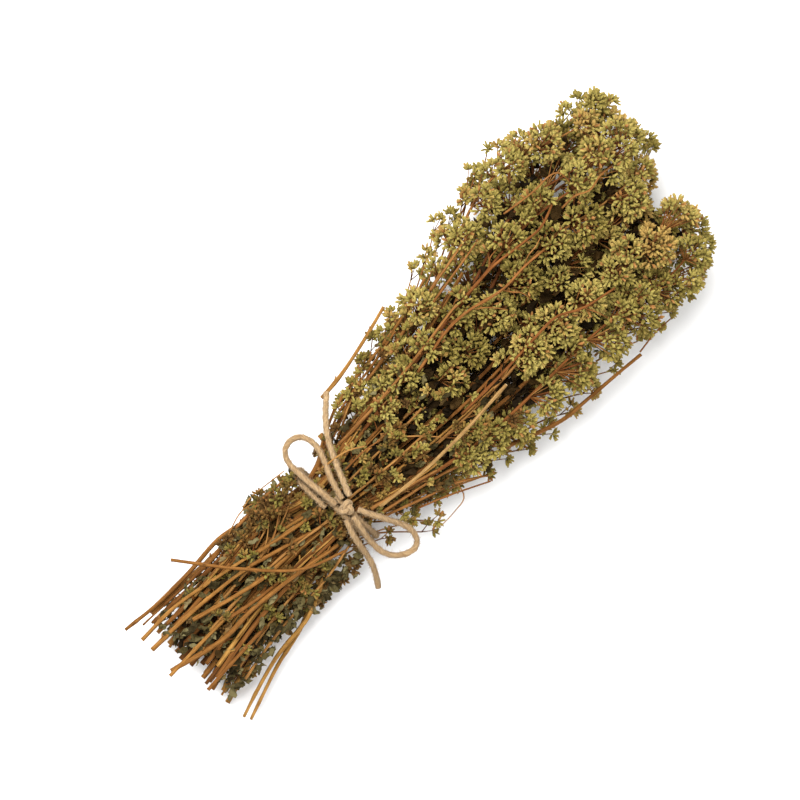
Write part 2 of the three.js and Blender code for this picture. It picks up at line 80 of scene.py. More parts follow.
# %% Camera
MM_PER_PIXEL = 0.42
PICTURE_SIZE = 800
TIE_PIXEL = (345, 503)
BUNDLE_SLANT = math.radians(47.7)
CAMERA_HEIGHT = 2.0
MID_HEIGHT = 0.037
SENSOR = 36.0


def from_pixel(px, py):
    """The place in mm from the tie that the photo shows at a pixel."""
    dx = (px - TIE_PIXEL[0]) * MM_PER_PIXEL
    dy = (TIE_PIXEL[1] - py) * MM_PER_PIXEL
    cos, sin = math.cos(BUNDLE_SLANT), math.sin(BUNDLE_SLANT)
    return dx * cos + dy * sin, dy * cos - dx * sin


view_width = PICTURE_SIZE * MM_PER_PIXEL * MM
middle = to_row([*from_pixel(PICTURE_SIZE / 2, PICTURE_SIZE / 2), 0])
camera_data = bpy.data.cameras.new("camera")
camera_data.sensor_width = SENSOR
camera_data.lens = SENSOR * (CAMERA_HEIGHT - MID_HEIGHT) / view_width
camera_data.clip_end = 10
camera = bpy.data.objects.new("camera", camera_data)
camera.location = (middle[0], middle[1], CAMERA_HEIGHT)
camera.rotation_euler = (0, 0, -BUNDLE_SLANT)
bpy.context.collection.objects.link(camera)
bpy.context.scene.camera = camera
print("camera lens", round(camera_data.lens, 1))

# %% [markdown]
# ## Drawing lots
# A plant repeats itself with small differences. Each difference comes from a seeded draw, so the
# bundle is the same every time. `draw` is the rule that the CAD model uses, and `lots` makes one
# stream of numbers for each kind of finer detail.

# %% Seeded draws
WORD = 0xFFFFFFFF
GOLDEN_ANGLE = math.pi * (3 - math.sqrt(5))


def draw(*keys):
    """A number from 0 to 1 that depends on whole numbers alone, the same in the CAD model and here."""
    h = 0x811C9DC5
    for key in keys:
        h = ((h ^ (key + 0x9E37)) * 0x01000193) & WORD
        h ^= h >> 15
        h = (h * 0x85EBCA6B) & WORD
        h ^= h >> 13
    h = (h * 0xC2B2AE35) & WORD
    h ^= h >> 16
    return h / (WORD + 1)


def between(low, high, *keys):
    return low + (high - low) * draw(*keys)


def lots(seed):
    return np.random.default_rng(seed)


print("first draws:", round(draw(0), 3), round(draw(1), 3))

# %% [markdown]
# ## The bundle's form
# The outline is given at stations along the bundle, with a smooth line through them. Any stem is then
# a place (u, v) in a round cross-section that is carried along the bundle. These are the CAD model's
# own rules, repeated here because the finer pieces have to lie where its pieces lie.

# %% Outline and flow
OUTLINE = np.array([
    # x, left, right, low, top, skin
    (-100, 30, -28, -1.4, 37, 3.2),
    (-60, 29, -21, -1.4, 37, 3.2),
    (-28, 28.6, -20.2, 0.6, 37, 3.6),
    (-12, 21.7, -17.9, 5.2, 35.5, 3.4),
    (2, 21, -17.4, 5.5, 35, 3.2),
    (14, 27.5, -25, 3, 38, 4.5),
    (30, 35, -34, 0, 45.5, 6.2),
    (60, 42.5, -43, -2.5, 57, 8),
    (100, 50, -51, -3, 68, 9),
    (140, 63, -56, -3, 76, 10),
    (165, 60, -57, -3, 76, 10),
    (200, 48, -47, 2, 72, 10),
], float)
FRONT = np.array([
    (-60, 166), (-50, 177), (-41, 190), (-23, 191), (-6, 186), (4, 198), (37, 203), (50, 176), (65, 162),
], float)
TWIST_PER_MM = 0.0022
WANDER_ACROSS = 0.045
WANDER_UP = 0.04
FLATTEN = 0.4


def through(stations, column, at):
    """Smooth values through a column of a list of stations."""
    xs, ys = stations[:, 0], stations[:, column]
    last = len(xs) - 1
    i = np.searchsorted(xs[1:last], at, side="left")
    before, after = np.maximum(i - 1, 0), np.minimum(i + 2, last)
    span = xs[i + 1] - xs[i]
    t = np.clip((at - xs[i]) / span, 0, 1)
    slope1 = (ys[i + 1] - ys[before]) / (xs[i + 1] - xs[before]) * span
    slope2 = (ys[after] - ys[i]) / (xs[after] - xs[i]) * span
    t2, t3 = t * t, t * t * t
    return (
        (2 * t3 - 3 * t2 + 1) * ys[i] + (t3 - 2 * t2 + t) * slope1
        + (3 * t2 - 2 * t3) * ys[i + 1] + (t3 - t2) * slope2
    )


def section(x):
    """Middle, half width, half height and skin of the bundle at x."""
    left, right, low, top, skin = (through(OUTLINE, column, x) for column in range(1, 6))
    return (left + right) / 2, (low + top) / 2, (left - right) / 2, (top - low) / 2, skin


def flow(u, v, x):
    """Points of the bundle at (u, v) in its round section, carried to x. All three may be arrays."""
    x = np.asarray(x, float)
    turn = TWIST_PER_MM * x
    across = u * np.cos(turn) - v * np.sin(turn)
    up = u * np.sin(turn) + v * np.cos(turn)
    wandered_across = across + WANDER_ACROSS * np.sin(x / 21 + 4.5 * up)
    wandered_up = up + WANDER_UP * np.sin(x / 26 + 4.5 * wandered_across + 1)
    y, z, half_across, half_up, skin = section(x)
    spread = np.where(wandered_up < 0, 1 + FLATTEN * wandered_across ** 2, 1)
    return np.stack([
        x,
        y + (half_across - skin) * wandered_across,
        z + (half_up - skin) * wandered_up * spread,
    ], axis=-1)


def outness(point, margin):
    """How far out a point is in the bundle's cross-section: 1 is the edge."""
    y, z, half_across, half_up, _ = section(point[0])
    across = (point[1] - y) / (half_across - margin)
    up = (point[2] - z) / (half_up - margin)
    spread = 1 + FLATTEN * min(across ** 2, 1) if up < 0 else 1
    return math.hypot(across, up / spread)


def outward_angle(point):
    y, z, half_across, half_up, _ = section(point[0])
    return math.atan2((point[2] - z) / half_up, (point[1] - y) / half_across)


print("bundle is", round(2 * section(140)[2]), "mm wide at its heads")

# %% [markdown]
# Every sprig has a home on a sunflower spiral in that round section, so the stems are spread evenly.
# Each has two stems, and the first carries on into its flowering head.

# %% Homes, stems and their sway
SPRIG_COUNT = 21
SHOOT_COUNT = 6
HOME_COUNT = SPRIG_COUNT + SHOOT_COUNT
MAIN_OFFSET = (-0.062, -0.02)
SECOND_OFFSET = (0.062, -0.02)
NO_OFFSET = (0.0, 0.0)
SWAY = 0.014
STEM_RADIUS = 1.25
RACHIS_RADIUS = 1.1
SHOOT_RADIUS = 0.8
TWINE_RADIUS = 1.35
GAP = 0.3
SHOOT_HOMES = [14 + 2 * k for k in range(SHOOT_COUNT)]
SPRIG_HOMES = [index for index in range(HOME_COUNT) if index not in SHOOT_HOMES]


def home(index):
    """A home's place in the round section, and how far out it is."""
    radius = math.sqrt((index + 0.5) / HOME_COUNT)
    angle = index * GOLDEN_ANGLE + 0.6
    return radius * math.cos(angle), radius * math.sin(angle), radius


def sway(index, number, offset, x):
    phase = between(0, 6.28, index, number, 30)
    return offset[0] + SWAY * np.sin(x / 16 + phase), offset[1] + SWAY * np.cos(x / 19 + phase)


def stem_points(index, number, offset, x):
    """Where a stem of a home is, at each x."""
    u, v, _ = home(index)
    du, dv = sway(index, number, offset, np.asarray(x, float))
    return flow(u + du, v + dv, x)


def foot_end(index, number):
    """Where a stem was cut: most are about even, and some second stems are shorter."""
    if number > 0 and draw(index, number, 10) < 0.3:
        return between(-82, -50, index, number, 11)
    return between(-98, -87, index, number, 12)


def sprig_plan(index):
    """Where a sprig's head begins and ends, and where its second stem ends."""
    u, v, radius = home(index)
    inner = radius < 0.5
    base = between(92, 112, index, 20) if inner else between(15, 28, index, 21)
    edge = flow(u, v, 180.0)
    _, z, _, half_up, _ = section(180.0)
    rounding = 16 * abs((edge[2] - z) / half_up) ** 3
    tip = through(FRONT, 1, edge[1]) - 9 - rounding - between(0, 13, index, 22)
    second_top = between(40, 70, index, 40) if inner else between(34, 112, index, 41)
    return {"index": index, "inner": inner, "base": base, "tip": float(tip), "second_top": second_top}


plans = [sprig_plan(index) for index in SPRIG_HOMES]
print("sprigs reach", round(max(plan["tip"] for plan in plans)), "mm past the tie")

# %% [markdown]
# ## Routes
# The twine's free stretches follow these points, from the knot and back to it, or out to a cut end.
# Loose stems lie across the bundle or stand out of it. A few points are enough, because a smooth
# curve is laid through them later.

# %% Routes of the bow and the loose stems
LOOP_LEFT = [
    (0.5, 2.1, 39.1), (2.1, 7.0, 39.4), (4.0, 12.0, 39.2), (6.7, 17.2, 37.8), (9.1, 23.1, 35.2),
    (9.5, 28.2, 33.0), (7.9, 32.4, 31.4), (4.2, 34.6, 30.5), (0.0, 34.0, 30.4), (-2.6, 31.3, 31.0),
    (-3.8, 27.3, 32.4), (-3.9, 21.2, 35.2), (-3.8, 17.4, 37.0), (-3.5, 13.6, 38.6), (-3.2, 8.0, 39.7),
    (-2.9, 2.3, 39.9),
]
LOOP_RIGHT = [
    (1.7, -5.8, 38.9), (3.2, -9.6, 38.6), (4.9, -13.5, 37.6), (6.5, -17.0, 35.9), (7.9, -20.3, 33.8),
    (10.1, -26.3, 30.0), (9.5, -31.6, 27.6), (6.4, -34.5, 26.4), (1.8, -33.8, 26.2), (-2.8, -30.0, 27.2),
    (-4.9, -25.1, 29.0), (-4.9, -19.5, 32.0), (-4.4, -16.5, 34.2), (-3.6, -13.5, 36.2), (-2.8, -10.1, 37.9),
    (-1.9, -6.6, 39.0),
]
TAIL_UP = [
    (3.5, 0.6, 39.6), (4.3, 2.4, 39.8), (5.2, 4.3, 39.8), (6.9, 8.0, 39.6), (8.7, 11.8, 39.1),
    (10.6, 15.5, 38.2), (12.6, 19.2, 37.1), (14.7, 22.8, 35.8), (17.1, 26.0, 34.6), (19.8, 29.0, 33.4),
    (22.4, 31.5, 32.3), (23.8, 32.7, 31.8), (25.2, 33.8, 31.4), (27.2, 35.5, 30.6), (29.2, 37.2, 29.8),
]
TAIL_DOWN = [
    (-4.9, -5.1, 39.2), (-5.8, -7.3, 38.9), (-6.8, -9.6, 38.2), (-7.8, -12.0, 37.2), (-8.5, -14.5, 35.7),
    (-9.1, -17.0, 33.8), (-9.6, -19.5, 31.6), (-10.2, -21.7, 29.7), (-10.9, -23.9, 27.9),
    (-11.7, -26.1, 26.2), (-12.5, -27.6, 24.7), (-13.4, -29.1, 23.2), (-14.3, -30.6, 21.8),
    (-15.8, -32.6, 19.8), (-17.4, -34.6, 17.8),
]
BOW_ROUTES = {
    "bow_loop_left": LOOP_LEFT,
    "bow_loop_right": LOOP_RIGHT,
    "bow_tail_up": TAIL_UP,
    "bow_tail_down": TAIL_DOWN,
}
LOOSE_STEMS = {
    "cross_stem": (0.95, [(-67, 38, 35), (-50, 14, 39.5), (-33, -5, 39.6), (-14, -14, 36.5)]),
    "broken_stem": (1.1, [(26, 37, 25.5), (39, 37.6, 29.5), (55, 40, 33), (72, 43.5, 34)]),
    "edge_stem": (1.1, [(85, -43.5, 33), (100, -46, 34), (116, -48, 35), (130, -50, 35)]),
    "pale_stem": (0.9, [(9, -12, 38), (29, -15, 44), (54, -16.5, 54), (82, -16.3, 62)]),
    "splayed_stem_1": (1.1, [(-46, -20.8, 17), (-68, -22.6, 15), (-84, -26, 12), (-97, -29.6, 9)]),
    "splayed_stem_2": (1.0, [(-52, -21.8, 12.5), (-70, -25.2, 10.5), (-84, -29.1, 8.5), (-96, -32.6, 6.5)]),
    "long_stem": (1.1, [(-46, 28.9, 21), (-66, 29, 20), (-86, 30, 19), (-103, 32.6, 17)]),
}
WAIST = {"y": 2.2, "z": 20, "across": 21.4, "up": 16.6}
KNOT = (-1, -2, 38.4)
WINDING_TURNS = 2
print("routes:", len(BOW_ROUTES), "of the bow and", len(LOOSE_STEMS), "loose stems")

# %% [markdown]
# ## Room for the tufts
# The flowers stand in tufts round each head, wherever there is still room between the stems and the
# other tufts. Room that is taken is kept as a list of spheres. The rule gives the same tufts as the
# CAD model, one by one, because it makes the same draws in the same order.

# %% Room already taken
ROOM_STEP = 2.5
MOST_SPHERES = 30000
room = np.zeros((MOST_SPHERES, 5))
room_used = 0
BESIDE = 1000
FIRST_ROUTE_OWNER = 2000
ROUTE_OWNERS = {name: FIRST_ROUTE_OWNER + k for k, name in enumerate([*BOW_ROUTES, *LOOSE_STEMS])}


def take(centre, radius, owner):
    """Marks a sphere as taken. What has the same owner may overlap."""
    global room_used
    room[room_used] = (*centre, radius, owner)
    room_used += 1


def take_line(points, radius, owner):
    points = np.asarray(points, float)
    for a, b in zip(points, points[1:]):
        count = math.ceil(np.linalg.norm(b - a) / ROOM_STEP)
        for k in range(count + 1):
            take(a + (b - a) * (k / count), radius, owner)


def is_free(centre, radius, owner):
    near = room[:room_used]
    reach = radius + near[:, 3] + GAP
    apart = ((near[:, :3] - centre) ** 2).sum(axis=1)
    return not bool(((apart < reach * reach) & (near[:, 4] != owner)).any())


for name, route in BOW_ROUTES.items():
    take_line(route, TWINE_RADIUS + 0.2, ROUTE_OWNERS[name])
for name, (radius, route) in LOOSE_STEMS.items():
    take_line(route, radius, ROUTE_OWNERS[name])
for plan in plans:
    index = plan["index"]
    main_x = np.linspace(foot_end(index, 0), plan["base"], 9)
    second_x = np.linspace(foot_end(index, 1), plan["second_top"], 10)
    take_line(stem_points(index, 0, MAIN_OFFSET, main_x), STEM_RADIUS, index)
    take_line(stem_points(index, 1, SECOND_OFFSET, second_x), STEM_RADIUS, BESIDE + index)
shoot_ends = {index: (between(-86, -74, index, 60), between(38, 52, index, 61)) for index in SHOOT_HOMES}
for index, (start, end) in shoot_ends.items():
    take_line(stem_points(index, 0, NO_OFFSET, np.linspace(start, end, 9)), SHOOT_RADIUS, index)
for plan in plans:
    head_x = np.linspace(plan["base"] + GAP, plan["tip"], 9)
    take_line(stem_points(plan["index"], 0, MAIN_OFFSET, head_x), RACHIS_RADIUS, plan["index"])
print("room taken by", room_used, "spheres")

# %% [markdown]
# Tufts are tried from the tip of each head down, with many leans for each, and the first that has room
# stays. They could be scattered at random, but then they would cut into each other, and oregano sets
# its flowers at even joints. Small fillers come last, to close the gaps that the eye would catch.

# %% Tufts of the flowering heads
MOST_TUFTS = 13
MOST_FILLERS = 3


def is_bare_patch(point):
    """Above the tie on one side the stems lie open, with few flowers over them."""
    return point[0] < 50 and point[1] < -11 and point[2] > 22


def growth(x):
    """From 0 just past the tie to 1 at the full heads."""
    return min(max((x - 15) / 95, 0), 1)


def tuft_size(x):
    return 5.2 + 5.2 * growth(x)


def room_for(root, centre, radius, owner, own):
    front = through(FRONT, 1, centre[1])
    inside = (
        outness(centre, radius * 0.75) <= 1 and centre[2] > radius * 0.55
        and centre[0] + radius * 0.8 < front and centre[0] > 12 and not is_bare_patch(centre)
    )
    if not inside or not is_free(centre, radius * 1.1, owner):
        return False
    apart = all(math.dist(centre, other["centre"]) > 0.8 * (radius + other["radius"]) for other in own)
    return apart and is_free(root + (centre - root) * 0.4, radius * 0.4, owner)


def tuft_place(plan, number):
    x = plan["tip"]
    for i in range(number):
        x -= 11 + 6.5 * growth(x) + between(-2, 2, plan["index"], i, 50)
    return x


def filler_place(plan, number):
    return plan["tip"] - 8 - (plan["tip"] - plan["base"] - 16) * draw(plan["index"], number, 57)


def place_tuft(plan, own, number, is_filler):
    index = plan["index"]
    x = filler_place(plan, number) if is_filler else tuft_place(plan, number)
    if x < plan["base"] + 3 or (is_filler and plan["inner"]):
        return
    u, v, _ = home(index)
    du, dv = sway(index, 0, MAIN_OFFSET, x)
    root = flow(u + du, v + dv, x)
    ahead = flow(u + du, v + dv, x + 4) - root
    ahead /= np.linalg.norm(ahead)
    out_angle = outward_angle(root)
    is_tip = number == 0
    for attempt in range(26):
        spread = (0.9 + attempt * 0.1) * (1 if draw(index, number, attempt, 51) < 0.5 else -1)
        angle = out_angle + spread * between(0.35, 1, index, number, attempt, 52)
        sideways = np.array([0, math.cos(angle), math.sin(angle)])
        if is_tip:
            lean = between(0, 0.35, index, attempt, 53)
        else:
            lean = between(0.75, 1.15, index, number, attempt, 54)
        axis = ahead * math.cos(lean) + sideways * math.sin(lean)
        axis /= np.linalg.norm(axis)
        size = 0.8 * tuft_size(x) if is_filler else tuft_size(x)
        radius = size * (1 - attempt * 0.017) * between(0.88, 1.1, index, number, attempt, 55)
        reach = radius * (0.75 if is_tip else between(1.2, 1.7, index, number, attempt, 56))
        centre = root + axis * reach
        if room_for(root, centre, radius, index, own):
            own.append({"root": root, "centre": centre, "radius": radius})
            take(centre, radius * 1.05, index)
            take(root + (centre - root) * 0.4, radius * 0.4, index)
            return


head_tufts = [[] for _ in plans]
for number in range(MOST_TUFTS + MOST_FILLERS):
    for plan, own in zip(plans, head_tufts):
        place_tuft(plan, own, number, number >= MOST_TUFTS)
print("tufts:", sum(map(len, head_tufts)))

# %% [markdown]
# ## Leafy shoots
# Between the stems run thinner shoots with curled leaves low down and small tufts toward their tops.
# Their places follow the CAD model's rule too.

# %% Places on the shoots
LEAF, TUFT = "leaf", "tuft"


def shoot_items(index):
    """The leaves and small tufts of a shoot, each where it has room."""
    own, items = [], []
    start, end = shoot_ends[index]

    def room_beside(centre, radius):
        return (
            centre[2] > 0.6 * radius + 0.6 and is_free(centre, radius, index)
            and all(math.dist(centre, c) > 0.85 * (radius + r) for c, r in own)
        )

    def keep(centre, radius):
        take(centre, radius, index)
        own.append((centre, radius))

    for number in range(8):
        x = -75 + number * 15 + between(-3, 3, index, number, 62)
        if -12 < x < 6:
            continue
        root = stem_points(index, 0, NO_OFFSET, x)
        out_angle = outward_angle(root)
        is_tuft = x > 12 or draw(index, number, 63) < 0.3
        for attempt in range(20):
            angle = out_angle + (0.3 + attempt * 0.08) * between(-1, 1, index, number, attempt, 64)
            out = np.array([0, math.cos(angle), math.sin(angle)])
            if is_tuft:
                radius = between(2.7, 3.7, index, number, attempt, 65)
                axis = np.array([0.7, out[1] * 0.72, out[2] * 0.72])
                centre = root + axis / np.linalg.norm(axis) * radius * 1.25
                if room_beside(centre, radius * 1.1) and not is_bare_patch(centre):
                    items.append({"kind": TUFT, "root": root, "centre": centre, "radius": radius})
                    keep(centre, radius * 1.05)
                    break
            else:
                length = between(7, 10, index, number, attempt, 66)
                heading = 1 if draw(index, number, attempt, 67) < 0.7 else -1
                along = np.array([0.82 * heading, out[1] * 0.55, out[2] * 0.55])
                along /= np.linalg.norm(along)
                middle, tip = root + along * length * 0.45, root + along * length * 0.85
                if room_beside(middle, 2.4) and room_beside(tip, 1.7):
                    seed = index * 100 + number
                    items.append({
                        "kind": LEAF, "root": root, "along": along, "out": out, "length": length,
                        "fold": between(-0.5, 0.5, seed, 1), "curl": between(-0.25, 0.3, seed, 2),
                    })
                    keep(middle, 2.2)
                    keep(tip, 1.6)
                    break
    return items


shoots = {index: shoot_items(index) for index in SHOOT_HOMES}
print("on the shoots:", sum(map(len, shoots.values())), "leaves and tufts")

# %% [markdown]
# ## Building in bulk
# There are thousands of bracts, twigs and leaves. Each kind is modelled once by hand, and its mesh is
# then copied, turned and scaled with numpy, which is far quicker than thousands of operators. A batch
# gathers the copies of one piece, with three values that the materials read: `tint`, one number for
# each copy, `tip`, which runs from base to tip, and `grain`, the way its fibres lie.

# %% Batches of copies
FLOOR_CLEARANCE = 0.02
GRAIN_SHIFT = 37
TRIANGLES = {}


class Batch:
    """Small closed meshes in mm from the tie, gathered into one piece."""

    def __init__(self):
        self.points, self.faces, self.count = [], [], 0
        self.tint, self.tip, self.grain = [], [], []

    def add(self, points, faces, tint, tip, grain):
        size = len(points)
        self.points.append(points)
        self.faces.append(faces + self.count)
        self.tint.append(np.broadcast_to(tint, size))
        self.tip.append(np.broadcast_to(tip, size))
        self.grain.append(grain)
        self.count += size

    def copies(self, unit, origins, frames, sizes, tints):
        """One copy of a unit for each origin, 3x3 frame, size along its three axes, and tint."""
        points, faces, tip = unit
        placed = np.einsum("mnk,mjk->mnj", points[None] * sizes[:, None, :], frames) + origins[:, None]
        many = len(origins)
        all_faces = faces[None] + (np.arange(many) * len(points))[:, None, None]
        grain = points[None] + np.asarray(tints)[:, None, None] * GRAIN_SHIFT
        self.add(
            placed.reshape(-1, 3), all_faces.reshape(-1, 3), np.repeat(tints, len(points)),
            np.tile(tip, many), grain.reshape(-1, 3),
        )

    def make(self, name, material, slot, nodes=(), smooth=False):
        """Turns the batch into one piece that takes the place of the named CAD nodes."""
        points = np.concatenate(self.points)
        points[:, 2] = np.maximum(points[:, 2], FLOOR_CLEARANCE)
        faces = np.concatenate(self.faces).astype(np.int32)
        mesh = bpy.data.meshes.new(name)
        mesh.vertices.add(len(points))
        mesh.vertices.foreach_set("co", to_row(points).astype(np.float32).ravel())
        mesh.loops.add(faces.size)
        mesh.loops.foreach_set("vertex_index", faces.ravel())
        mesh.polygons.add(len(faces))
        mesh.polygons.foreach_set("loop_start", np.arange(0, faces.size, 3, dtype=np.int32))
        mesh.polygons.foreach_set("use_smooth", np.full(len(faces), smooth))
        for field in ("tint", "tip"):
            values = np.concatenate(getattr(self, field)).astype(np.float32)
            mesh.attributes.new(field, "FLOAT", "POINT").data.foreach_set("value", values)
        grain = np.concatenate(self.grain).astype(np.float32)
        mesh.attributes.new("grain", "FLOAT_VECTOR", "POINT").data.foreach_set("vector", grain.ravel())
        mesh.update(calc_edges=True)
        mesh.materials.append(material)
        piece = bpy.data.objects.new(name, mesh)
        bpy.context.collection.objects.link(piece)
        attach(piece, "root")
        if nodes:
            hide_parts(*nodes)
        TRIANGLES[name] = len(faces)
        return piece


def unit_vectors(vectors):
    return vectors / np.linalg.norm(vectors, axis=-1, keepdims=True)


def frames_along(directions, spins):
    """Frames whose third axis lies along each direction, turned about it by its spin."""
    ahead = unit_vectors(directions)
    helper = np.where(np.abs(ahead[:, 2:]) < 0.9, [[0.0, 0, 1]], [[1.0, 0, 0]])
    side = unit_vectors(np.cross(helper, ahead))
    other = np.cross(ahead, side)
    cos, sin = np.cos(spins)[:, None], np.sin(spins)[:, None]
    return np.stack([side * cos + other * sin, other * cos - side * sin, ahead], axis=2)


print("a frame along x:", frames_along(np.array([[1.0, 0, 0]]), np.zeros(1))[0, :, 2])

# %% [markdown]
# A stem, a twig or a strand of twine is a section that is carried along a line. The line is a smooth
# curve through a few points, and the frame that carries the section turns as little as it can. Each
# end closes with a rim, a slightly hollow ring and a middle point, as a cut end does.

# %% Smooth lines
def smooth_line(control, count):
    """Evenly spaced points on a smooth curve through the control points."""
    control = np.asarray(control, float)
    padded = np.vstack([2 * control[0] - control[1], control, 2 * control[-1] - control[-2]])
    fine = []
    for k in range(len(control) - 1):
        p0, p1, p2, p3 = padded[k:k + 4]
        t = np.linspace(0, 1, 24, endpoint=False)[:, None]
        fine.append(0.5 * (
            2 * p1 + (p2 - p0) * t + (2 * p0 - 5 * p1 + 4 * p2 - p3) * t ** 2
            + (3 * p1 - p0 - 3 * p2 + p3) * t ** 3
        ))
    fine = np.vstack([*fine, control[-1:]])
    along = np.concatenate([[0], np.cumsum(np.linalg.norm(np.diff(fine, axis=0), axis=1))])
    even = np.linspace(0, along[-1], count)
    return np.stack([np.interp(even, along, fine[:, axis]) for axis in range(3)], axis=1)


def line_length(points):
    return float(np.linalg.norm(np.diff(points, axis=0), axis=1).sum())


print("the left loop is", round(line_length(smooth_line(LOOP_LEFT, 100)), 1), "mm round")

# %% Sections carried along a line
END_DIP = 0.12
END_RIM = 0.78


def carried(line):
    """Frames along a line that turn as little as they can: side, other and ahead at each point."""
    ahead = unit_vectors(np.gradient(line, axis=0))
    side = np.cross(ahead[0], [0.0, 0.3, 1.0])
    sides = []
    for direction in ahead:
        side = side - direction * (side @ direction)
        side = side / np.linalg.norm(side)
        sides.append(side)
    sides = np.array(sides)
    return sides, np.cross(ahead, sides), ahead


def swept(batch, line, radii, profile, tint, turn=0.0, end_value=1.0):
    """Adds a closed skin: the profile, in polar angle and radius, carried along the line."""
    angles, reaches = profile
    many, sides = len(line), len(angles)
    side, other, ahead = carried(line)
    radii = np.broadcast_to(radii, many)
    spin = np.broadcast_to(turn, many)[:, None] + angles[None]
    reach = radii[:, None] * reaches[None]
    rings = (
        line[:, None] + side[:, None] * (reach * np.cos(spin))[..., None]
        + other[:, None] * (reach * np.sin(spin))[..., None]
    )
    along = np.concatenate([[0], np.cumsum(np.linalg.norm(np.diff(line, axis=0), axis=1))])
    grain = np.stack([
        np.broadcast_to(np.cos(angles), (many, sides)), np.broadcast_to(np.sin(angles), (many, sides)),
        np.broadcast_to(along[:, None] / 10, (many, sides)),
    ], axis=-1) + tint * GRAIN_SHIFT
    points, grains, tips, faces = [rings.reshape(-1, 3)], [grain.reshape(-1, 3)], [np.zeros(many * sides)], []
    ring = np.arange(sides)
    after = (ring + 1) % sides
    for row in range(many - 1):
        a, b = row * sides, (row + 1) * sides
        faces.append(np.stack([a + ring, a + after, b + after], axis=1))
        faces.append(np.stack([a + ring, b + after, b + ring], axis=1))
    start = many * sides
    for row, inward in ((0, 1.0), (many - 1, -1.0)):
        dip = ahead[row] * inward * radii[row] * END_DIP
        inner = line[row] + (rings[row] - line[row]) * END_RIM
        points.extend([inner, (line[row] + dip)[None]])
        grains.append(np.broadcast_to(grain[row, 0], (sides + 1, 3)))
        tips.append(np.full(sides + 1, end_value))
        rim, cap, centre = row * sides, start, start + sides
        quads = [
            np.stack([rim + ring, cap + ring, cap + after], axis=1),
            np.stack([rim + ring, cap + after, rim + after], axis=1),
            np.stack([cap + ring, np.full(sides, centre), cap + after], axis=1),
        ]
        faces.extend(quads if inward > 0 else [quad[:, ::-1] for quad in quads])
        start += sides + 1
    batch.add(
        np.concatenate(points), np.concatenate(faces), tint, np.concatenate(tips), np.concatenate(grains),
    )


def polar(sides, reaches):
    """A closed section with its points at even angles, and a repeating list of reaches."""
    angles = np.arange(sides) * 2 * math.pi / sides
    return angles, np.resize(np.asarray(reaches, float), sides)


SQUARE_STEM = polar(8, [1.0, 0.8])
ROUND_TWIG = polar(5, [1.0])
THREE_PLY = polar(12, [1.06, 0.99, 0.86, 0.99])
print("sections:", len(SQUARE_STEM[0]), len(ROUND_TWIG[0]), len(THREE_PLY[0]), "sides")

# %% [markdown]
# ## Units modelled by hand
# A spikelet of oregano is a small cone of bracts that overlap like roof tiles. It starts as a coarse
# sphere, and in each of its rings every other corner is pulled out and up as the tip of a bract, with
# the next ring turned by one corner. It is copied many thousand times, so it has only a few dozen faces.

# %% Hand modelling helpers
def start(operator, **where):
    """A primitive on its own, with nothing else selected."""
    bpy.ops.object.select_all(action="DESELECT")
    operator(**where)
    return bpy.context.object


def pick(piece, wanted):
    """Selects the corners for which wanted(corner) is true, ready for an edit mode operator."""
    bpy.ops.object.mode_set(mode="EDIT")
    bpy.ops.mesh.select_mode(type="VERT")
    bpy.ops.mesh.select_all(action="DESELECT")
    bpy.ops.object.mode_set(mode="OBJECT")
    for vertex in piece.data.vertices:
        vertex.select = bool(wanted(vertex.co))
    bpy.ops.object.mode_set(mode="EDIT")


def as_unit(piece, tip_of):
    """Takes the finished mesh as arrays, with its value from base to tip, and removes the object."""
    bpy.ops.object.mode_set(mode="OBJECT")
    bpy.ops.object.select_all(action="DESELECT")
    piece.select_set(True)
    bpy.context.view_layer.objects.active = piece
    modifier = piece.modifiers.new("triangles", "TRIANGULATE")
    bpy.ops.object.modifier_apply(modifier=modifier.name)
    mesh = piece.data
    points = np.zeros(len(mesh.vertices) * 3)
    mesh.vertices.foreach_get("co", points)
    faces = np.zeros(len(mesh.polygons) * 3, dtype=np.int32)
    mesh.polygons.foreach_get("vertices", faces)
    points, faces = points.reshape(-1, 3), faces.reshape(-1, 3)
    bpy.data.objects.remove(piece)
    bpy.data.meshes.remove(mesh)
    # Edit mode lists the triangles in no fixed order. Sorted, they are the same in every run.
    turned = (faces.argmin(axis=1)[:, None] + [0, 1, 2]) % 3
    faces = np.take_along_axis(faces, turned, axis=1)
    faces = faces[np.lexsort(faces.T)]
    return points, faces, np.array([tip_of(point) for point in points])


# %% Spikelets
def spikelet_unit(sides, rings, lift, flare):
    """One unit long from z = 0, about half as wide, with a bract at every other corner of each ring."""
    piece = start(bpy.ops.mesh.primitive_uv_sphere_add, segments=sides, ring_count=rings + 1, radius=0.5)
    heights = sorted({round(vertex.co.z, 4) for vertex in piece.data.vertices})[1:-1]
    for level, height in enumerate(heights):
        def is_tip(corner, height=height, level=level):
            number = round(math.atan2(corner.y, corner.x) / (2 * math.pi) * sides)
            return abs(corner.z - height) < 0.01 and (number + level) % 2 == 0

        pick(piece, is_tip)
        bpy.ops.transform.resize(value=(flare, flare, 1), center_override=(0, 0, height))
        bpy.ops.transform.translate(value=(0, 0, lift))
    pick(piece, lambda corner: True)
    bpy.ops.transform.resize(value=(0.56, 0.56, 1), center_override=(0, 0, 0))
    bpy.ops.transform.translate(value=(0, 0, 0.5))
    return as_unit(piece, lambda point: min(max(point[2], 0), 1) * min(math.hypot(point[0], point[1]) * 4, 1))


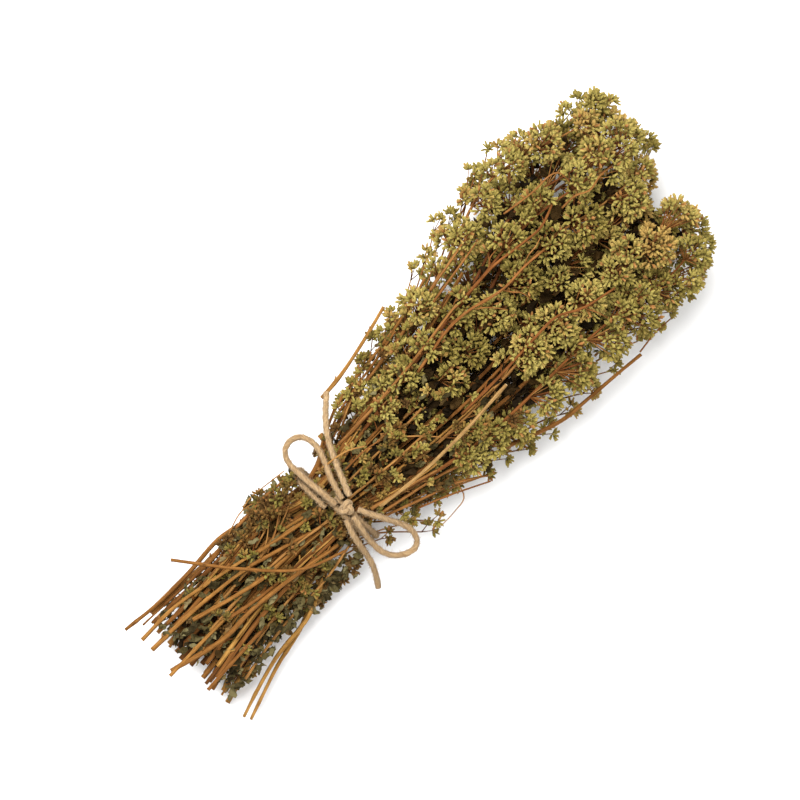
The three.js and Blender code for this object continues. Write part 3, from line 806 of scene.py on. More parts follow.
SPIKELETS = [spikelet_unit(4, 4, 0.1, 1.5), spikelet_unit(4, 3, 0.12, 1.4), spikelet_unit(4, 3, 0.18, 1.6)]
SMALL_SPIKELETS = [spikelet_unit(4, 3, 0.1, 1.4), spikelet_unit(4, 3, 0.16, 1.6)]
print("spikelet faces:", [len(unit[1]) for unit in SPIKELETS])

# %% [markdown]
# A thin twig is a rod with four sides that tapers, and a hair of the twine is a cone with three. A leaf
# starts as a flat grid that gets a little thickness from a Solidify modifier, so it is closed. Its
# outline, fold and curl differ from leaf to leaf, and are given to each copy below.

# %% Twig rod, hair and leaf blade
rod = start(bpy.ops.mesh.primitive_cylinder_add, vertices=4, radius=1, depth=1, location=(0, 0, 0.5))
bpy.ops.object.transform_apply(location=True)
pick(rod, lambda corner: corner.z > 0.9)
bpy.ops.transform.resize(value=(0.7, 0.7, 1), center_override=(0, 0, 1))
ROD = as_unit(rod, lambda point: 0.0)

hair = start(bpy.ops.mesh.primitive_cone_add, vertices=3, radius1=1, depth=1, location=(0, 0, 0.5))
bpy.ops.object.transform_apply(location=True)
HAIR = as_unit(hair, lambda point: 0.0)


def blade_unit(lengthwise, crosswise, thickness):
    """A flat leaf one unit long from x = 0 and one wide, with a little thickness."""
    blade = start(
        bpy.ops.mesh.primitive_grid_add, x_subdivisions=lengthwise, y_subdivisions=crosswise, size=1,
    )
    bpy.ops.object.mode_set(mode="EDIT")
    bpy.ops.mesh.select_all(action="SELECT")
    bpy.ops.transform.translate(value=(0.5, 0, 0))
    bpy.ops.object.mode_set(mode="OBJECT")
    wall = blade.modifiers.new("thickness", "SOLIDIFY")
    wall.thickness = thickness
    wall.offset = 0
    bpy.ops.object.modifier_apply(modifier=wall.name)
    return as_unit(blade, lambda point: abs(point[1]) * 2)


BLADE = blade_unit(8, 4, 0.03)
SMALL_BLADE = blade_unit(5, 2, 0.05)
print("rod, hair and blade faces:", [len(unit[1]) for unit in (ROD, HAIR, BLADE, SMALL_BLADE)])

# %% Leaves from a blade
CRUMPLED = 0.5


def add_leaf(batch, root, along, out, length, width, fold, curl, tint, crumple=CRUMPLED, blade=SMALL_BLADE):
    """A leaf blade: widened, folded along its midrib, curled at its tip and crumpled as it dried."""
    points, faces, tip = blade
    t, s = points[:, 0], points[:, 1]
    outline = np.sin(np.pi * np.clip(0.06 + 0.9 * t, 0, 1) ** 0.85) ** 0.8
    across = s * outline * width
    rise = points[:, 2] * length + np.abs(across) * fold + curl * t * t * length
    rise += crumple * length * np.sin(t * 9 + tint * 40) * np.sin(s * 7 + tint * 23) * 0.5
    side = unit_vectors(np.cross(out, along))
    up = np.cross(along, side)
    placed = root + along * (t * length - 0.5)[:, None] + side * across[:, None] + up * rise[:, None]
    batch.add(placed, faces, tint, tip, points * [2, 1, 1] + tint * GRAIN_SHIFT)


# %% [markdown]
# ## Finishes
# Everything here is dry and matt, so colour and fine relief do the work. A few helpers add a node and
# set or link its inputs, which keeps each finish down to a few lines. Every finish takes its base shade
# from the `tint` of each copy, by a colour ramp.

# %% Colours and nodes
def colour(red, green, blue):
    """A colour as it looks on screen, from 0 to 255, as the linear value that a shader takes."""
    shares = [value / 255 for value in (red, green, blue)]
    return (*[c / 12.92 if c <= 0.04045 else ((c + 0.055) / 1.055) ** 2.4 for c in shares], 1.0)


def feed(tree, socket, value):
    """Sets an input to a value, or links another node's output to it."""
    if isinstance(value, bpy.types.NodeSocket):
        tree.links.new(value, socket)
    else:
        socket.default_value = value


def add_node(tree, kind, **inputs):
    """A node with its inputs set or linked, where a space in an input's name is written as _."""
    node = tree.nodes.new(f"ShaderNode{kind}")
    for name, value in inputs.items():
        feed(tree, node.inputs[name.replace("_", " ")], value)
    return node


print("mid grey as a shader sees it:", round(colour(128, 128, 128)[0], 3))

# %% Nodes that the finishes share
def noise(tree, vector, scale, detail=2.0, roughness=0.6):
    node = add_node(tree, "TexNoise", Vector=vector, Scale=scale, Detail=detail, Roughness=roughness)
    return node.outputs["Fac"]


def ranged(tree, value, low, high, to_high=1.0):
    """A value from low to high, stretched to run from 0 to to_high."""
    node = add_node(tree, "MapRange", Value=value, From_Min=low, From_Max=high, To_Min=0.0, To_Max=to_high)
    return node.outputs["Result"]


def mixed(tree, factor, a, b, blend="MIX"):
    """Mixes two colours, each a tuple or a socket."""
    node = add_node(tree, "Mix")
    node.data_type, node.blend_type = "RGBA", blend
    for socket, value in ((node.inputs["Factor"], factor), (node.inputs[6], a), (node.inputs[7], b)):
        feed(tree, socket, value)
    return node.outputs[2]


def shaded(tree, shade, shares):
    """A colour with its red, green and blue each brought to a share of what they were."""
    return mixed(tree, 1.0, shade, (*shares, 1), "MULTIPLY")


def attribute(tree, name, output="Fac"):
    node = add_node(tree, "Attribute")
    node.attribute_name = name
    return node.outputs[output]


def by_tint(tree, stops):
    """A ramp over the tint of each copy. A stop is its place, then red, green and blue."""
    node = add_node(tree, "ValToRGB", Fac=attribute(tree, "tint"))
    band = node.color_ramp
    while len(band.elements) < len(stops):
        band.elements.new(0.5)
    for element, (place, *shade) in zip(band.elements, stops):
        element.position = place
        element.color = colour(*shade)
    return node.outputs["Color"]


# %% [markdown]
# Two node groups are shared. `mottle` breaks a colour up with soft patches. `fibres` draws fine lines
# along the grain, from the `grain` attribute of each mesh, which holds the way round and the way along
# a stem or a strand, so the lines follow every bend. Built once, each is placed in a finish with its
# own values.

# %% Mottle and fibres
def new_group(name, inputs, outputs):
    tree = bpy.data.node_groups.new(name, "ShaderNodeTree")
    for way, sockets in (("INPUT", inputs), ("OUTPUT", outputs)):
        for socket, kind in sockets.items():
            tree.interface.new_socket(socket, in_out=way, socket_type=f"NodeSocket{kind}")
    return tree, tree.nodes.new("NodeGroupInput").outputs, tree.nodes.new("NodeGroupOutput").inputs


MOTTLE, given, wanted = new_group(
    "mottle", {"Colour": "Color", "Dark": "Color", "Amount": "Float"}, {"Colour": "Color", "Height": "Float"},
)
place = add_node(MOTTLE, "TexCoord").outputs["Object"]
amount = add_node(MOTTLE, "Math")
amount.operation = "MULTIPLY"
feed(MOTTLE, amount.inputs[0], ranged(MOTTLE, noise(MOTTLE, place, 220), 0.38, 0.62))
feed(MOTTLE, amount.inputs[1], given["Amount"])
feed(MOTTLE, wanted["Colour"], mixed(MOTTLE, amount.outputs[0], given["Colour"], given["Dark"]))
feed(MOTTLE, wanted["Height"], noise(MOTTLE, place, 1500))

FIBRES, given, wanted = new_group(
    "fibres", {"Round": "Float", "Along": "Float"}, {"Lines": "Float", "Specks": "Float"},
)
grain = attribute(FIBRES, "grain", "Vector")
stretch = add_node(FIBRES, "CombineXYZ", X=given["Round"], Y=given["Round"], Z=given["Along"])
scaled = add_node(FIBRES, "VectorMath")
scaled.operation = "MULTIPLY"
feed(FIBRES, scaled.inputs[0], grain)
feed(FIBRES, scaled.inputs[1], stretch.outputs[0])
feed(FIBRES, wanted["Lines"], noise(FIBRES, scaled.outputs[0], 1.0, 4.0, 0.7))
feed(FIBRES, wanted["Specks"], noise(FIBRES, grain, 9.0))
print("groups:", MOTTLE.name, "with", len(MOTTLE.nodes), "nodes,", FIBRES.name, "with", len(FIBRES.nodes))

# %% [markdown]
# Every finish is one Principled shader that is rough and hardly shines, with a colour and a bump. The
# relief finer than a millimetre is left to the bump, because there are far too many pieces to model it.

# %% Materials and their relief
DULL_SPECULAR = 0.08


def new_material(name, roughness, sheen=0.0):
    material = bpy.data.materials.new(name)
    material.use_nodes = True
    shader = material.node_tree.nodes["Principled BSDF"]
    shader.inputs["Roughness"].default_value = roughness
    shader.inputs["Specular IOR Level"].default_value = DULL_SPECULAR
    shader.inputs["Sheen Weight"].default_value = sheen
    return material, material.node_tree, shader


def use_group(tree, group, **values):
    node = tree.nodes.new("ShaderNodeGroup")
    node.node_tree = group
    for socket, value in values.items():
        feed(tree, node.inputs[socket], value)
    return node.outputs


def cover(tree, shader, shade, height, distance, strength=0.6):
    """Gives the shader its colour, and its relief from a bump node."""
    bump = add_node(tree, "Bump", Strength=strength, Distance=distance, Height=height)
    feed(tree, shader.inputs["Base Color"], shade)
    feed(tree, shader.inputs["Normal"], bump.outputs["Normal"])


# %% [markdown]
# Bark on a dried stem is golden to red brown, ribbed along its length, with a pale disc of pith where
# it was cut. One material could have one brown, but then the bunch would look moulded. So each stem
# takes its own brown from its tint, and the `tip` attribute, which is 1 on a cut end, brings the pith.

# %% Bark of the stems and twigs
def bark(name, stops, pith, lines_round=5.0):
    material, tree, shader = new_material(name, 0.72)
    base = by_tint(tree, stops)
    lines = use_group(tree, FIBRES, Round=lines_round, Along=0.9)["Lines"]
    streaked = mixed(tree, ranged(tree, lines, 0.36, 0.66), shaded(tree, base, (0.42, 0.36, 0.3)), base)
    glint = mixed(tree, ranged(tree, lines, 0.55, 0.75, 0.5), streaked, shaded(tree, base, (1.6, 1.6, 1.5)))
    dark = shaded(tree, glint, (0.55, 0.5, 0.45))
    patchy = use_group(tree, MOTTLE, Colour=glint, Dark=dark, Amount=0.5)["Colour"]
    cover(tree, shader, mixed(tree, attribute(tree, "tip"), patchy, colour(*pith)), lines, 0.0004)
    return material


BARK = bark("bark", [
    (0.0, 112, 71, 34), (0.35, 142, 95, 46), (0.7, 166, 118, 59), (1.0, 188, 143, 75),
], (214, 183, 120))
PALE_BARK = bark("pale_bark", [(0.0, 172, 134, 82), (1.0, 196, 160, 104)], (226, 200, 156))
TWIG_BARK = bark("twig_bark", [
    (0.0, 112, 66, 34), (0.5, 144, 91, 46), (1.0, 184, 137, 77),
], (190, 149, 86), 3.0)
print("barks:", BARK.name, PALE_BARK.name, TWIG_BARK.name)

# %% [markdown]
# The florets are papery bracts, olive green with paler, browner tips. Between the scales the light
# doesn't reach, and that shadow is finer than the mesh, so the shade darkens toward the core of each
# spikelet by the same `tip` attribute. A few whole spikelets turn rusty, as old flowers do.

# %% Bracts of the florets
def bracts(name, stops, core, tip_shade, tip_share):
    material, tree, shader = new_material(name, 0.85)
    tip = attribute(tree, "tip")
    deep = mixed(tree, ranged(tree, tip, 0.0, 0.45), colour(*core), by_tint(tree, stops))
    patchy = use_group(tree, MOTTLE, Colour=deep, Dark=shaded(tree, deep, (0.72, 0.66, 0.5)), Amount=0.6)
    tipped = mixed(tree, ranged(tree, tip, 0.6, 0.95, tip_share), patchy["Colour"], colour(*tip_shade))
    cover(tree, shader, tipped, patchy["Height"], 0.0003)
    return material


FLORETS = bracts("floret_bracts", [
    (0.0, 98, 85, 38), (0.25, 122, 110, 52), (0.5, 142, 130, 67), (0.75, 160, 147, 80), (0.9, 166, 141, 78),
    (1.0, 150, 104, 59),
], (62, 52, 20), (182, 152, 90), 0.5)
BROWN_FLORETS = bracts("brown_floret_bracts", [
    (0.0, 74, 52, 26), (0.3, 104, 75, 38), (0.55, 98, 89, 42), (0.85, 136, 125, 61), (1.0, 140, 96, 53),
], (44, 31, 13), (160, 125, 70), 0.4)
print("bracts:", FLORETS.name, BROWN_FLORETS.name)

# %% [markdown]
# Dried leaves are grey green on top, with pale veins and dark folds, and a few are brown. Leaves deep
# in the bunch get a near-black colour of their own, a painted shade: they are strewn loosely and would
# let in more light than a packed bunch does, so their dark colour stands in for the shadow inside it.

# %% Dry leaves
def dry_leaf(name, stops):
    material, tree, shader = new_material(name, 0.8)
    base = by_tint(tree, stops)
    dark = shaded(tree, base, (0.6, 0.55, 0.42))
    patchy = use_group(tree, MOTTLE, Colour=base, Dark=dark, Amount=0.8)["Colour"]
    specks = use_group(tree, FIBRES, Round=3.0, Along=3.0)["Specks"]
    veined = mixed(tree, ranged(tree, specks, 0.45, 0.7, 0.5), patchy, shaded(tree, patchy, (1.5, 1.5, 1.45)))
    cover(tree, shader, veined, specks, 0.0006)
    return material


LEAVES = dry_leaf("dry_leaf", [
    (0.0, 50, 42, 24), (0.4, 80, 71, 43), (0.7, 104, 95, 63), (0.9, 130, 121, 86), (1.0, 114, 86, 50),
])
# Painted shade: a near-black brown for leaves deep inside, standing in for the shadow in the bunch's hollows.
PAINTED_SHADE_LEAVES = dry_leaf("painted_shade_leaf", [(0.0, 26, 18, 8), (0.6, 46, 33, 14), (1.0, 66, 48, 22)])
print("leaves:", LEAVES.name, PAINTED_SHADE_LEAVES.name)

# %% [markdown]
# Jute is a dull tan, and its fibres run along the strand. The plies are modelled, so the finish only
# adds dark lines between fibres, in part their own streaks and in part painted shade in the gaps,
# pale specks where a fibre stands up, and a little sheen.

# %% Jute
def jute():
    material, tree, shader = new_material("jute", 0.9, 0.1)
    base = by_tint(tree, [(0.0, 174, 144, 104), (0.5, 190, 160, 119), (1.0, 208, 180, 140)])
    fibres = use_group(tree, FIBRES, Round=4.0, Along=5.0)
    # The dark lines fall in the bump's grooves: partly the fibres' own streaks, partly painted shade between
    # them.
    lined = mixed(tree, ranged(tree, fibres["Lines"], 0.38, 0.6), shaded(tree, base, (0.5, 0.42, 0.33)), base)
    pale = shaded(tree, lined, (1.3, 1.27, 1.2))
    specked = mixed(tree, ranged(tree, fibres["Specks"], 0.5, 0.7, 0.6), lined, pale)
    cover(tree, shader, specked, fibres["Lines"], 0.0009, 0.9)
    return material


JUTE = jute()
print("twine finish:", JUTE.name, "with", len(JUTE.node_tree.nodes), "nodes")

# %% [markdown]
# ## Twine
# The bundle is tied with one length of jute twine: two turns round the waist, a small knot on top, and
# a bow with two loops and two tails. Twine is three plies twisted together, so its section has three
# lobes that turn as they go. Each free stretch is laid along its route, and its length is printed.

# %% The bow
PLY_TURN_PER_MM = 2 * math.pi / 11
TWINE_STEP = 0.8
TWINE_HALF = 1.28


def twine_line(control):
    rough = smooth_line(control, 60)
    return smooth_line(control, max(12, int(line_length(rough) / TWINE_STEP)))


def lay_twine(batch, line, tint, thickness=TWINE_HALF):
    """One stretch of twine along a line, a little uneven, as spun by hand."""
    along = np.linspace(0, line_length(line), len(line))
    uneven = 1 + 0.05 * np.sin(along / 2.3 + tint * 9) + 0.03 * np.sin(along / 0.9)
    swept(batch, line, thickness * uneven, THREE_PLY, tint, along * PLY_TURN_PER_MM, 0.0)


bow_lines = {name: twine_line(route) for name, route in BOW_ROUTES.items()}
for name, line in bow_lines.items():
    batch = Batch()
    lay_twine(batch, line, 0.3 + 0.4 * draw(len(line), 70))
    piece = batch.make(f"{name}_twine", JUTE, "twine", [name], smooth=True)
    to_row(line[0])
    line_length(line) * MM
    to_row(line)
    print(name, "is", round(line_length(line), 1), "mm long")

# %% [markdown]
# The winding is a helix of two turns round the waist, which is an ellipse here. The knot is a trefoil,
# the simplest closed line that goes over and under itself. At this size it reads as a bow's knot, and
# no one has to trace the real one strand by strand.

# %% Winding and knot
WINDING_PITCH = 3.1
WINDING_START = math.pi / 2 - 0.12
KNOT_REACH = (0.95, 0.8, 1.25)
KNOT_TWINE_HALF = 1.05
turns = np.linspace(0, WINDING_TURNS, 60 * WINDING_TURNS)
angles = WINDING_START + turns * 2 * math.pi
winding = np.stack([
    KNOT[0] + 0.2 - WINDING_PITCH * turns,
    WAIST["y"] + WAIST["across"] * np.cos(angles),
    WAIST["z"] + WAIST["up"] * np.sin(angles),
], axis=1)
knot_turn = np.linspace(0, 2 * math.pi, 80)
knot = np.array(KNOT) + [0, 0, 0.2] + np.array(KNOT_REACH) * np.stack([
    np.sin(knot_turn) + 2 * np.sin(2 * knot_turn),
    np.cos(knot_turn) - 2 * np.cos(2 * knot_turn),
    -np.sin(3 * knot_turn),
], axis=1)
batch = Batch()
lay_twine(batch, winding, 0.4)
lay_twine(batch, knot, 0.6, KNOT_TWINE_HALF)
batch.make("twine_winding", JUTE, "twine", ["twine_wraps"], smooth=True)
print("winding of", round(line_length(winding)), "mm and knot of", round(line_length(knot)), "mm")

# %% [markdown]
# Jute sheds fine hairs all along. Each is a thin cone that stands off the twine at a slant. Blender's
# own hair would be quicker to make, but the export drops it, and these are real meshes that stay.

# %% Hairs of the twine
HAIRS_PER_MM = 22
HAIR_RADIUS = 0.07
FIRST_HAIR_SEED = 500


def hairs_on(batch, line, seed):
    lot = lots(seed)
    many = int(line_length(line) * HAIRS_PER_MM)
    side, other, ahead = carried(line)
    at = lot.integers(1, len(line) - 1, many)
    angle = lot.uniform(0, 2 * math.pi, many)
    outward = side[at] * np.cos(angle)[:, None] + other[at] * np.sin(angle)[:, None]
    slant = ahead[at] * lot.uniform(-2.2, 2.2, many)[:, None]
    origins = line[at] + outward * TWINE_RADIUS * 0.85 + ahead[at] * lot.uniform(-0.5, 0.5, many)[:, None]
    length = lot.gamma(2.0, 0.45, many).clip(0.4, 3.2)
    thin = np.full(many, HAIR_RADIUS)
    batch.copies(
        HAIR, origins, frames_along(outward + slant, angle), np.stack([thin, thin, length], axis=1),
        lot.uniform(0.4, 1, many),
    )


batch = Batch()
for seed, line in enumerate([*bow_lines.values(), winding]):
    hairs_on(batch, line, FIRST_HAIR_SEED + seed)
batch.make("twine_hairs", JUTE, "twine")
print("hairs:", TRIANGLES["twine_hairs"] // len(HAIR[1]))

# %% [markdown]
# ## Stems
# Oregano has square stems with a swollen joint every few centimetres, where a pair of side shoots
# grew. At the foot they were cut, so each ends in a pale disc of pith. A stem could be a plain tube,
# but the ridges and joints catch the light, so the square section and the swellings are modelled.

# %% One stem
RING_STEP = 2.6


def joints_of(length, lot):
    """How far along a stem its joints are."""
    places, at = [], lot.uniform(6, 20)
    while at < length - 4:
        places.append(at)
        at += lot.uniform(16, 34)
    return np.array(places)


def add_stem(batch, line, radius, tint, lot, taper=0.25, profile=SQUARE_STEM, stubs=True):
    """A stem with swollen joints and short broken side shoots."""
    length = line_length(line)
    along = np.linspace(0, length, len(line))
    joints = joints_of(length, lot)
    swell = sum((np.exp(-((along - at) / 1.3) ** 2) for at in joints), np.zeros(len(line)))
    radii = radius * (1 - taper * along / length) * (1 + 0.24 * swell + 0.04 * np.sin(along / 3 + tint * 20))
    swept(batch, line, radii, profile, tint, lot.uniform(0, 6) + along * 0.01)
    if not stubs or not len(joints):
        return
    side, other, ahead = carried(line)
    many = len(joints)
    at = np.clip((joints / length * (len(line) - 1)).astype(int), 1, len(line) - 2)
    angle = lot.uniform(0, 2 * math.pi, many)
    outward = side[at] * np.cos(angle)[:, None] + other[at] * np.sin(angle)[:, None]
    reach = lot.uniform(1.5, 3.6, many)
    thick = radii[at] * lot.uniform(0.3, 0.5, many)
    batch.copies(
        ROD, line[at] + outward * radii[at][:, None] * 0.4, frames_along(outward + ahead[at] * 0.9, angle),
        np.stack([thick, thick, reach], axis=1), np.clip(lot.normal(tint, 0.1, many), 0, 1),
    )


def flow_points(index, number, offset, start, end):
    """A stem that follows the bundle's own flow from one x to another."""
    x = np.linspace(start, end, max(8, int(abs(end - start) / RING_STEP)))
    return stem_points(index, number, offset, x)


print("a ring every", RING_STEP, "mm")

# %% [markdown]
# Each CAD stalk has two stems, and both are made here in the same place. Three thinner ones are added
# beside them, because a real bunch has many more thin stems than thick ones.

# %% Stems of the sprigs
MAIN_RADIUS = 1.18
SECOND_RADIUS = 1.1
for serial, plan in enumerate(plans):
    index = plan["index"]
    lot = lots(1000 + index)
    batch = Batch()
    foot = [foot_end(index, 0), foot_end(index, 1)]
    main = flow_points(index, 0, MAIN_OFFSET, foot[0], plan["base"] + 2)
    second = flow_points(index, 1, SECOND_OFFSET, foot[1], plan["second_top"])
    add_stem(batch, main, MAIN_RADIUS, lot.uniform(0, 1), lot)
    add_stem(batch, second, SECOND_RADIUS, lot.uniform(0, 1), lot, 0.4)
    for extra in range(2, 5):
        offset = (lot.uniform(-0.09, 0.09), 0.05 + lot.uniform(-0.05, 0.07))
        start_x = lot.uniform(-97, -40)
        end_x = lot.uniform(20, plan["second_top"])
        thin = flow_points(index, extra, offset, start_x, end_x)
        add_stem(batch, thin, lot.uniform(0.45, 0.85), lot.uniform(0, 1), lot, 0.4, ROUND_TWIG)
    batch.make(f"stems_{serial + 1:02d}", BARK, "stem", [f"stalk_{serial + 1:02d}"], smooth=True)
print("triangles so far:", sum(TRIANGLES.values()))

# %% [markdown]
# The loose stems are the ones that the eye finds first: one across the foot, two that splay out of it,
# a pale one over the heads. Where such a stem comes out of the bunch, its line starts a little further
# in than the CAD solid does, so that no cut end shows among the leaves. The one across the foot looks
# thinner in the photo than its solid, and is drawn so.

# %% Loose stems
HIDDEN_START = {
    "splayed_stem_1": [(-26, -13, 17)], "splayed_stem_2": [(-30, -13, 14)], "long_stem": [(-28, 22, 23)],
    "edge_stem": [(60, -33, 30)],
}
THINNER = {"cross_stem": 0.82}
for name, (radius, route) in LOOSE_STEMS.items():
    batch = Batch()
    lot = lots(2000 + len(name))
    route = [*HIDDEN_START.get(name, []), *route]
    line = smooth_line(route, max(10, int(line_length(np.array(route, float)) / RING_STEP)))
    pale = name == "pale_stem"
    add_stem(batch, line, radius * THINNER.get(name, 1), lot.uniform(0.3, 1), lot, 0.2, stubs=not pale)
    finish, slot = (PALE_BARK, "pale_stem") if pale else (BARK, "stem")
    batch.make(f"{name}_bark", finish, slot, [name], smooth=True)
print("triangles so far:", sum(TRIANGLES.values()))

# %% [markdown]
# ## Flowering heads
# A tuft is a flat-topped spray: one twig divides, each part ends in a fan of spikelets, and the fans
# make a dome. So each tuft of the CAD model is filled with fans whose places are spread over its dome
# by the golden angle. Smaller tufts are then added on the same twigs, wherever there is a gap.

# %% One tuft of spikelets
SPIKELET_LENGTH = 3.4
SPIKELET_WIDTH = 1.8
SPIKELETS_IN_FAN = (8, 13)
FANS_PER_SQUARE_MM = 0.15
RUSTY_SHARE = 0.05
RUST = 1.0
DARKEST, PALEST = 0, 0.93


def dome(many, opening, lot):
    """Directions spread evenly over a cap round +Z, out to an opening angle."""
    k = np.arange(many) + 0.5
    height = 1 - (1 - math.cos(opening)) * k / many
    angle = k * GOLDEN_ANGLE + lot.uniform(0, 2 * math.pi)
    flat = np.sqrt(np.maximum(1 - height ** 2, 0))
    return np.stack([flat * np.cos(angle), flat * np.sin(angle), height], axis=1)


def add_tuft(florets, twigs, root, centre, radius, lot, mood, density=1.0, kinds=SPIKELETS):
    """Fans of spikelets over a dome, each on its own thin twig from the tuft's root."""
    axis = unit_vectors(centre - root)
    turned = frames_along(axis[None], lot.uniform(0, 6, 1))[0]
    fans = max(1, round(radius * radius * FANS_PER_SQUARE_MM * density))
    heart = centre - axis * radius * 0.5
    opening = 1.75 if radius > 5 else 1.3
    outward = dome(fans, opening, lot) @ turned.T
    fan_tone = np.clip(mood + lot.normal(0, 0.1, fans), 0, 1)
    fan_spread = min(2.2 + 0.11 * radius, radius * 0.62)
    reaches = radius * lot.uniform(0.56, 0.74, fans)
    bases = heart + outward * reaches[:, None] + lot.normal(0, 0.3, (fans, 3))
    stalks = bases - root
    lengths = np.linalg.norm(stalks, axis=1)
    thick = np.full(fans, 0.22 + 0.012 * radius)
    twigs.copies(
        ROD, np.repeat(root[None], fans, axis=0), frames_along(stalks, lot.uniform(0, 6, fans)),
        np.stack([thick, thick, lengths + 0.6], axis=1), lot.uniform(0, 1, fans),
    )
    for fan in range(fans):
        many = int(lot.integers(*SPIKELETS_IN_FAN))
        fan_frame = frames_along(outward[fan][None] + axis * 0.25, lot.uniform(0, 6, 1))[0]
        directions = dome(many, 1.25, lot) @ fan_frame.T
        directions = unit_vectors(directions + lot.normal(0, 0.09, (many, 3)))
        length = SPIKELET_LENGTH * lot.uniform(0.72, 1.12, many)
        reach = fan_spread * lot.uniform(0.6, 1.0, many)
        origins = bases[fan] + directions * np.maximum(reach - length * 0.45, 0.1)[:, None]
        width = SPIKELET_WIDTH * lot.uniform(0.85, 1.2, many)
        kind = kinds[int(lot.integers(0, len(kinds)))]
        frames = frames_along(directions, lot.uniform(0, 6, many))
        is_rusty = lot.uniform(0, 1, many) < RUSTY_SHARE
        tone = np.clip(fan_tone[fan] + lot.normal(0, 0.1, many), DARKEST, PALEST)
        sizes = np.stack([width, width, length], axis=1)
        florets.copies(kind, origins, frames, sizes, np.where(is_rusty, RUST, tone))


print("up to", SPIKELETS_IN_FAN[1] - 1, "spikelets in a fan")

# %% [markdown]
# The CAD model leaves gaps between its tufts that foliage would close. Smaller tufts are tried at
# random places on each head's own twig, and those that touch no other tuft stay.

# %% Gaps between the tufts
SMALL_TRIES = 60
SMALL_TUFTS = 9
everything = [(tuft["centre"], tuft["radius"]) for own in head_tufts for tuft in own]


def small_tufts(plan, lot, most):
    """Smaller tufts on this head's twig, where no other tuft stands yet."""
    index, added = plan["index"], []
    low_x = plan["base"] - (20 if plan["inner"] else 4)
    for _ in range(SMALL_TRIES):
        if len(added) == most:
            break
        x = lot.uniform(low_x, plan["tip"] + 2)
        root = stem_points(index, 0, MAIN_OFFSET, x)
        angle = outward_angle(root) + lot.normal(0, 1.1)
        radius = (3.4 + 2.6 * growth(x)) * lot.uniform(0.8, 1.15)
        reach = lot.uniform(5, 9 + 8 * growth(x))
        lean = lot.uniform(0.35, 1.0)
        sideways = math.sin(lean) * np.array([0, math.cos(angle), math.sin(angle)])
        centre = root + reach * (np.array([math.cos(lean), 0, 0]) + sideways)
        fits = (
            outness(centre, radius * 0.8) <= 1.0 and centre[2] > radius * 0.7
            and centre[0] + radius * 0.7 < through(FRONT, 1, centre[1]) + 2 and not is_bare_patch(centre)
        )
        if not fits or any(math.dist(centre, c) < 0.72 * (radius + r) for c, r in everything):
            continue
        everything.append((centre, radius))
        added.append({"root": root, "centre": centre, "radius": radius})
    return added


# %% [markdown]
# Each head is its own twig, the tufts of its CAD solid and the smaller ones. Heads differ in mood: some
# are darker and some paler, and their far ends are a little paler still, as in the photo.

# %% Heads
HEAD_TWIG_RADIUS = 0.95
LARGE_TUFT = 6.5
END_OF_HEADS = 165
for serial, (plan, own) in enumerate(zip(plans, head_tufts)):
    index = plan["index"]
    lot = lots(3000 + index)
    florets, twigs = Batch(), Batch()
    rachis = flow_points(index, 0, MAIN_OFFSET, plan["base"] + GAP, plan["tip"])
    add_stem(twigs, rachis, HEAD_TWIG_RADIUS, lot.uniform(0, 1), lot, 0.55, stubs=False)
    mood = lot.uniform(0.35, 0.75)
    extra = small_tufts(plan, lot, SMALL_TUFTS)
    for tuft in own + extra:
        tone = mood + lot.normal(0, 0.1) + 0.12 * (tuft["centre"][0] > END_OF_HEADS)
        kinds = SPIKELETS if tuft["radius"] > LARGE_TUFT else SMALL_SPIKELETS
        add_tuft(florets, twigs, tuft["root"], tuft["centre"], tuft["radius"], lot, tone, kinds=kinds)
    node = f"head_{serial + 1:02d}"
    florets.make(f"florets_{serial + 1:02d}", FLORETS, "floret", [node])
    twigs.make(f"twigs_{serial + 1:02d}", TWIG_BARK, "stem", [node], smooth=True)
print("triangles so far:", sum(TRIANGLES.values()), "largest", max(TRIANGLES.values()))

# %% [markdown]
# ## Leafy shoots
# Each shoot keeps the leaves and small tufts of its CAD solid, in their places. Its leaves are folded
# and curled more than the solid's, with more corners to crumple, and its stem gets a bark of its own.

# %% Shoots
for serial, index in enumerate(SHOOT_HOMES):
    lot = lots(4000 + index)
    greens, florets, stem = Batch(), Batch(), Batch()
    start_x, end_x = shoot_ends[index]
    line = flow_points(index, 0, NO_OFFSET, start_x, end_x)
    add_stem(stem, line, SHOOT_RADIUS * 0.9, 0.9, lot, 0.3, ROUND_TWIG, stubs=False)
    for item in shoots[index]:
        if item["kind"] == TUFT:
            mood = lot.uniform(0.3, 0.8)
            add_tuft(florets, stem, item["root"], item["centre"], item["radius"] * 1.1, lot, mood)
        else:
            add_leaf(
                greens, item["root"], item["along"], item["out"],
                item["length"] * 0.95, item["length"] * 0.46,
                item["fold"] * 1.6, item["curl"] * 1.8, lot.uniform(0.2, 0.85), blade=BLADE,
            )
    node = f"shoot_{serial + 1:02d}"
    stem.make(f"shoot_stem_{serial + 1:02d}", TWIG_BARK, "stem", [node], smooth=True)
    greens.make(f"shoot_leaves_{serial + 1:02d}", LEAVES, "leaf", [node], smooth=True)
    if florets.count:
        florets.make(f"shoot_florets_{serial + 1:02d}", BROWN_FLORETS, "floret", [node])
print("shoots:", len(SHOOT_HOMES))

# %% [markdown]
# ## What is caught between the stems
# Dry oregano crumbles. Curled leaves and broken florets are caught between the stems all along the
# lower half, so little light gets through. They could fall in place by a simulation, but the real ones
# were pressed in when the bunch was tied, so they are strewn by the same flow as the stems.

# %% Leaves and crumbs
STREWN_CRUMPLE = 0.55


def strewn(many, low_x, high_x, lot, innermost, reach):
    """Places in the bundle, even over its section, with the way out of it at each."""
    x = lot.uniform(low_x, high_x, many)
    radius = np.sqrt(lot.uniform(innermost ** 2, reach ** 2, many))
    angle = lot.uniform(0, 2 * math.pi, many)
    places = flow(radius * np.cos(angle), radius * np.sin(angle), x)
    out = np.stack([np.zeros(many), np.cos(angle), np.sin(angle)], axis=1)
    return places, out


